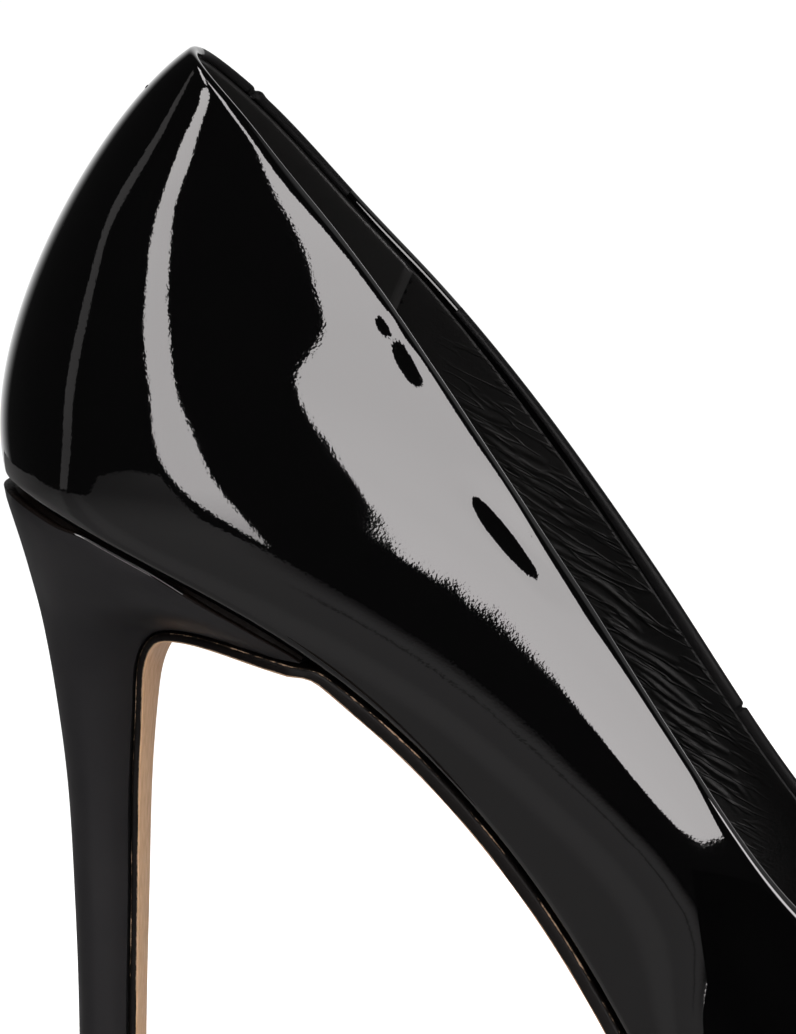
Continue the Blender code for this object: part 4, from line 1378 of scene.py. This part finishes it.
def build_heel():
    fine, way = heel_levels()
    p = np.linspace(0, 1, HEEL_SIDE) ** 2
    at = place_at(p * WING_TIP)
    s = p * WING_TIP
    groove = GROOVE * (1 - smooth((s - 11) / 6)) + GROOVE * smooth((s - 25) / 13)
    groove -= 0.3 * smooth((s - 42) / 7)
    curl = CURL * (1 - 0.5 * smooth((s - 32) / 8))
    profile = [(SEAT_INSET, -GAP + 0 * s), (GROOVE_INSET, -GAP - groove)]
    for turn in np.radians(np.linspace(0, TUCK_TURN, TUCK)):
        inset = COVER_INSET + curl * (1 - math.sin(turn))
        profile.append((inset, -GAP - groove - curl * (1 - math.cos(turn))))
    rings = []
    for inset, rise in profile:
        lateral, medial = edge_pair(at, inset, rise)
        rings.append(heel_ring(lateral[:, [0, 2]], -lateral[:, 1], medial[:, 1]))
    lateral, medial = edge_pair(at, 0.0, 0.0)
    seat = [-lateral[:, 1] / -lateral[:, 1].min(), medial[:, 1] / medial[:, 1].max()]
    stem = np.where(p < STEM_BACK, np.sqrt(np.clip(1 - (1 - p / STEM_BACK) ** 2, 0, 1)), 1.0)
    tail = np.clip((p - STEM_BACK) / (1 - STEM_BACK), 0, 1)
    for i in range(TUCKED_LEVELS, len(way)):
        x = fine["back_x"][i] + (fine["breast_x"][i] - fine["back_x"][i]) * p
        z = fine["back_z"][i] + (fine["breast_z"][i] - fine["back_z"][i]) * p
        sag = (1 - smooth(way[i] / 0.3)) * np.sin(np.pi * p)
        line = np.stack([x, z + SAG * sag], 1)
        ease = smooth(way[i] / 0.4)
        narrow = fine["breast"][i] / fine["wide"][i]
        sides = []
        for shape in seat:
            share = (1 - ease) * shape + ease * stem
            share = share * (1 - tail**2 + tail**2 * narrow / share[-1])
            sides.append(share * fine["wide"][i])
        rings.append(heel_ring(line, *sides))
    ring = 2 * HEEL_SIDE - 1
    rings = np.array(rings)
    faces = [list(f) for f in grid_faces(len(rings), ring)]
    along = np.concatenate([s[::-1], s[1:]])[:-1]
    glossy = (along > GLOSSY_EDGE[0]) & (along < GLOSSY_EDGE[1])
    kinds = []
    for i in range(len(rings) - 1):
        tucked = 1 if i < len(profile) - 1 else 0
        rolled = tucked and i >= 2
        kinds += [2 if rolled and bright else tucked for bright in glossy]
    last = (len(rings) - 1) * ring
    for k in range(HEEL_SIDE - 1):
        a, b = k, ring - 1 - k
        faces.append([a, a + 1, b - 1, b])
        faces.append([last + b, last + b - 1, last + a + 1, last + a])
    for i in range(len(rings) - 1):
        a, b = i * ring, (i + 1) * ring
        faces.append([a, a + ring - 1, b + ring - 1, b])
    kinds += [0] * (len(faces) - len(kinds))
    looks = [HEEL_COVER, TUCKED_EDGE, PATENT]
    piece = add_piece("heel_covered", rings.reshape(-1, 3), faces, looks, kinds, sharp=40)
    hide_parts("heel")
    return piece


build_heel()

# %% [markdown]
# ## Sole
# The sole is one strip of leather from the toe, up the waist and down the breast of the heel. Its
# section is a flat rectangle with rounded corners. Faces on the edge take the ink, the underside is bare
# leather; the inner half of each lower corner stays bare too, which gives the pale strip beside the ink.
# A Bevel modifier would round all corners alike, so the four corners are rounded one by one, and each
# stores how much its ink is worn through and how strong its painted highlight is.

# %% Sole piece
SOLE_LINES = 14
CORNER_STEPS = 5
Edge = namedtuple("Edge", "radius worn")
UPPER_EDGE = Edge(0.6, 1.1)
LOWER_EDGE = Edge(0.42, 1.4)
BARE_FACES = range(12, 17)
WING_DROP = 1.5


def build_sole():
    at = side_samples(SOLE_LINES)[::-1]
    at = at[at > place_at(WING + 3.0)]
    s = outline(at)[0]
    drop = GAP + WING_DROP * smooth((WING + 6 - s) / 5)
    thick = SOLE_WAIST + (SOLE_FOREPART - SOLE_WAIST) * smooth((s - 110) / 45)
    thick -= (SOLE_WAIST - SOLE_WING) * smooth((WING + 14 - s) / 12)
    left, right = edge_pair(at, SOLE_INSET, -drop)
    low_left, low_right = edge_pair(at, SOLE_INSET, -drop - thick)
    fine, way = heel_levels()
    breast = np.stack([fine["breast_x"], 0 * way, fine["breast_z"]], 1)
    ahead = unit(np.gradient(breast, axis=0))
    away = np.stack([-ahead[:, 2], 0 * way, ahead[:, 0]], 1)
    flap = SOLE_FLAP + (SOLE_WING - SOLE_FLAP) * (1 - smooth(way / 0.35))
    across = np.stack([0 * way, fine["breast"], 0 * way], 1)
    nearer = breast + away * GAP
    far = nearer + away * flap[:, None]
    corners = [
        np.concatenate([left, nearer - across]), np.concatenate([right, nearer + across]),
        np.concatenate([low_right, far + across]), np.concatenate([low_left, far - across]),
    ]
    for low in corners[2:]:
        low[:, 2] = np.where(low[:, 2] < FLAT, 0.0, low[:, 2])
    wide = np.linalg.norm(corners[1] - corners[0], axis=1)
    rows, wear_and_gleams = [], []
    for k, edge in enumerate((UPPER_EDGE, UPPER_EDGE, LOWER_EDGE, LOWER_EDGE)):
        round_off = np.minimum(edge.radius, wide * 0.2)[:, None]
        here, before, after = corners[k], corners[k - 1], corners[(k + 1) % 4]
        one, two = unit(before - here), unit(after - here)
        middle = here + (one + two) * round_off
        for turn in np.linspace(0, np.pi / 2, CORNER_STEPS):
            rows.append(middle - round_off * (two * math.cos(turn) + one * math.sin(turn)))
            # Highest in the middle of each corner: worn ink there, and a painted highlight.
            wear_and_gleams.append(edge.worn * math.sin(2 * turn))
    rings = np.stack(rows, 1)
    faces = capped_faces(*rings.shape[:2])
    around = [0 if k in BARE_FACES else 1 for k in range(len(rows))]
    kinds = around * (len(rings) - 1) + [1, 1]
    marks = {"wear_and_gleam": np.tile(wear_and_gleams, len(rings))}
    looks = [SOLE_LEATHER, EDGE_INK]
    piece = add_piece("sole_strip", rings.reshape(-1, 3), faces, looks, kinds, marks, sharp=50)
    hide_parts("outsole")
    return piece


build_sole()

# %% [markdown]
# ## Top lift
# The heel stands on a small block of rubber, cut a little round at both rims. It is a short stack of
# rings, like the heel, with a half-oval back and a flat front.

# %% Top lift piece
LIFT_ROUND = 0.3
LIFT_EASE = 0.09
LIFT_FRONT = 0.96


def build_lift():
    fine, _ = heel_levels()
    rear, breast = fine["back_x"][-1], fine["breast_x"][-1] + GAP + SOLE_FLAP
    wide = fine["wide"][-1]
    angle = np.linspace(0, np.pi, 41)
    middle = (rear + breast) / 2
    arc = np.stack([middle - (middle - rear) * np.sin(angle), -wide * np.cos(angle)], 1)
    front = wide * LIFT_FRONT
    flat = np.concatenate([[[breast, -front]], arc, [[breast, front]]])
    heart = flat.mean(0)
    rings = []
    top = TIP_HEIGHT - GAP
    profile = [(0, LIFT_ROUND), (LIFT_EASE, LIFT_EASE), (LIFT_ROUND, 0)]
    for z, inset in profile + [(top - z, inset) for z, inset in profile[::-1]]:
        ring = heart + (flat - heart) * (1 - inset / wide)
        rings.append(np.column_stack([ring, np.full(len(flat), z)]))
    faces = capped_faces(len(rings), len(flat))
    piece = add_piece("top_lift", np.concatenate(rings), faces, [LIFT_RUBBER], sharp=50)
    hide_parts("heel_tip")
    return piece


build_lift()
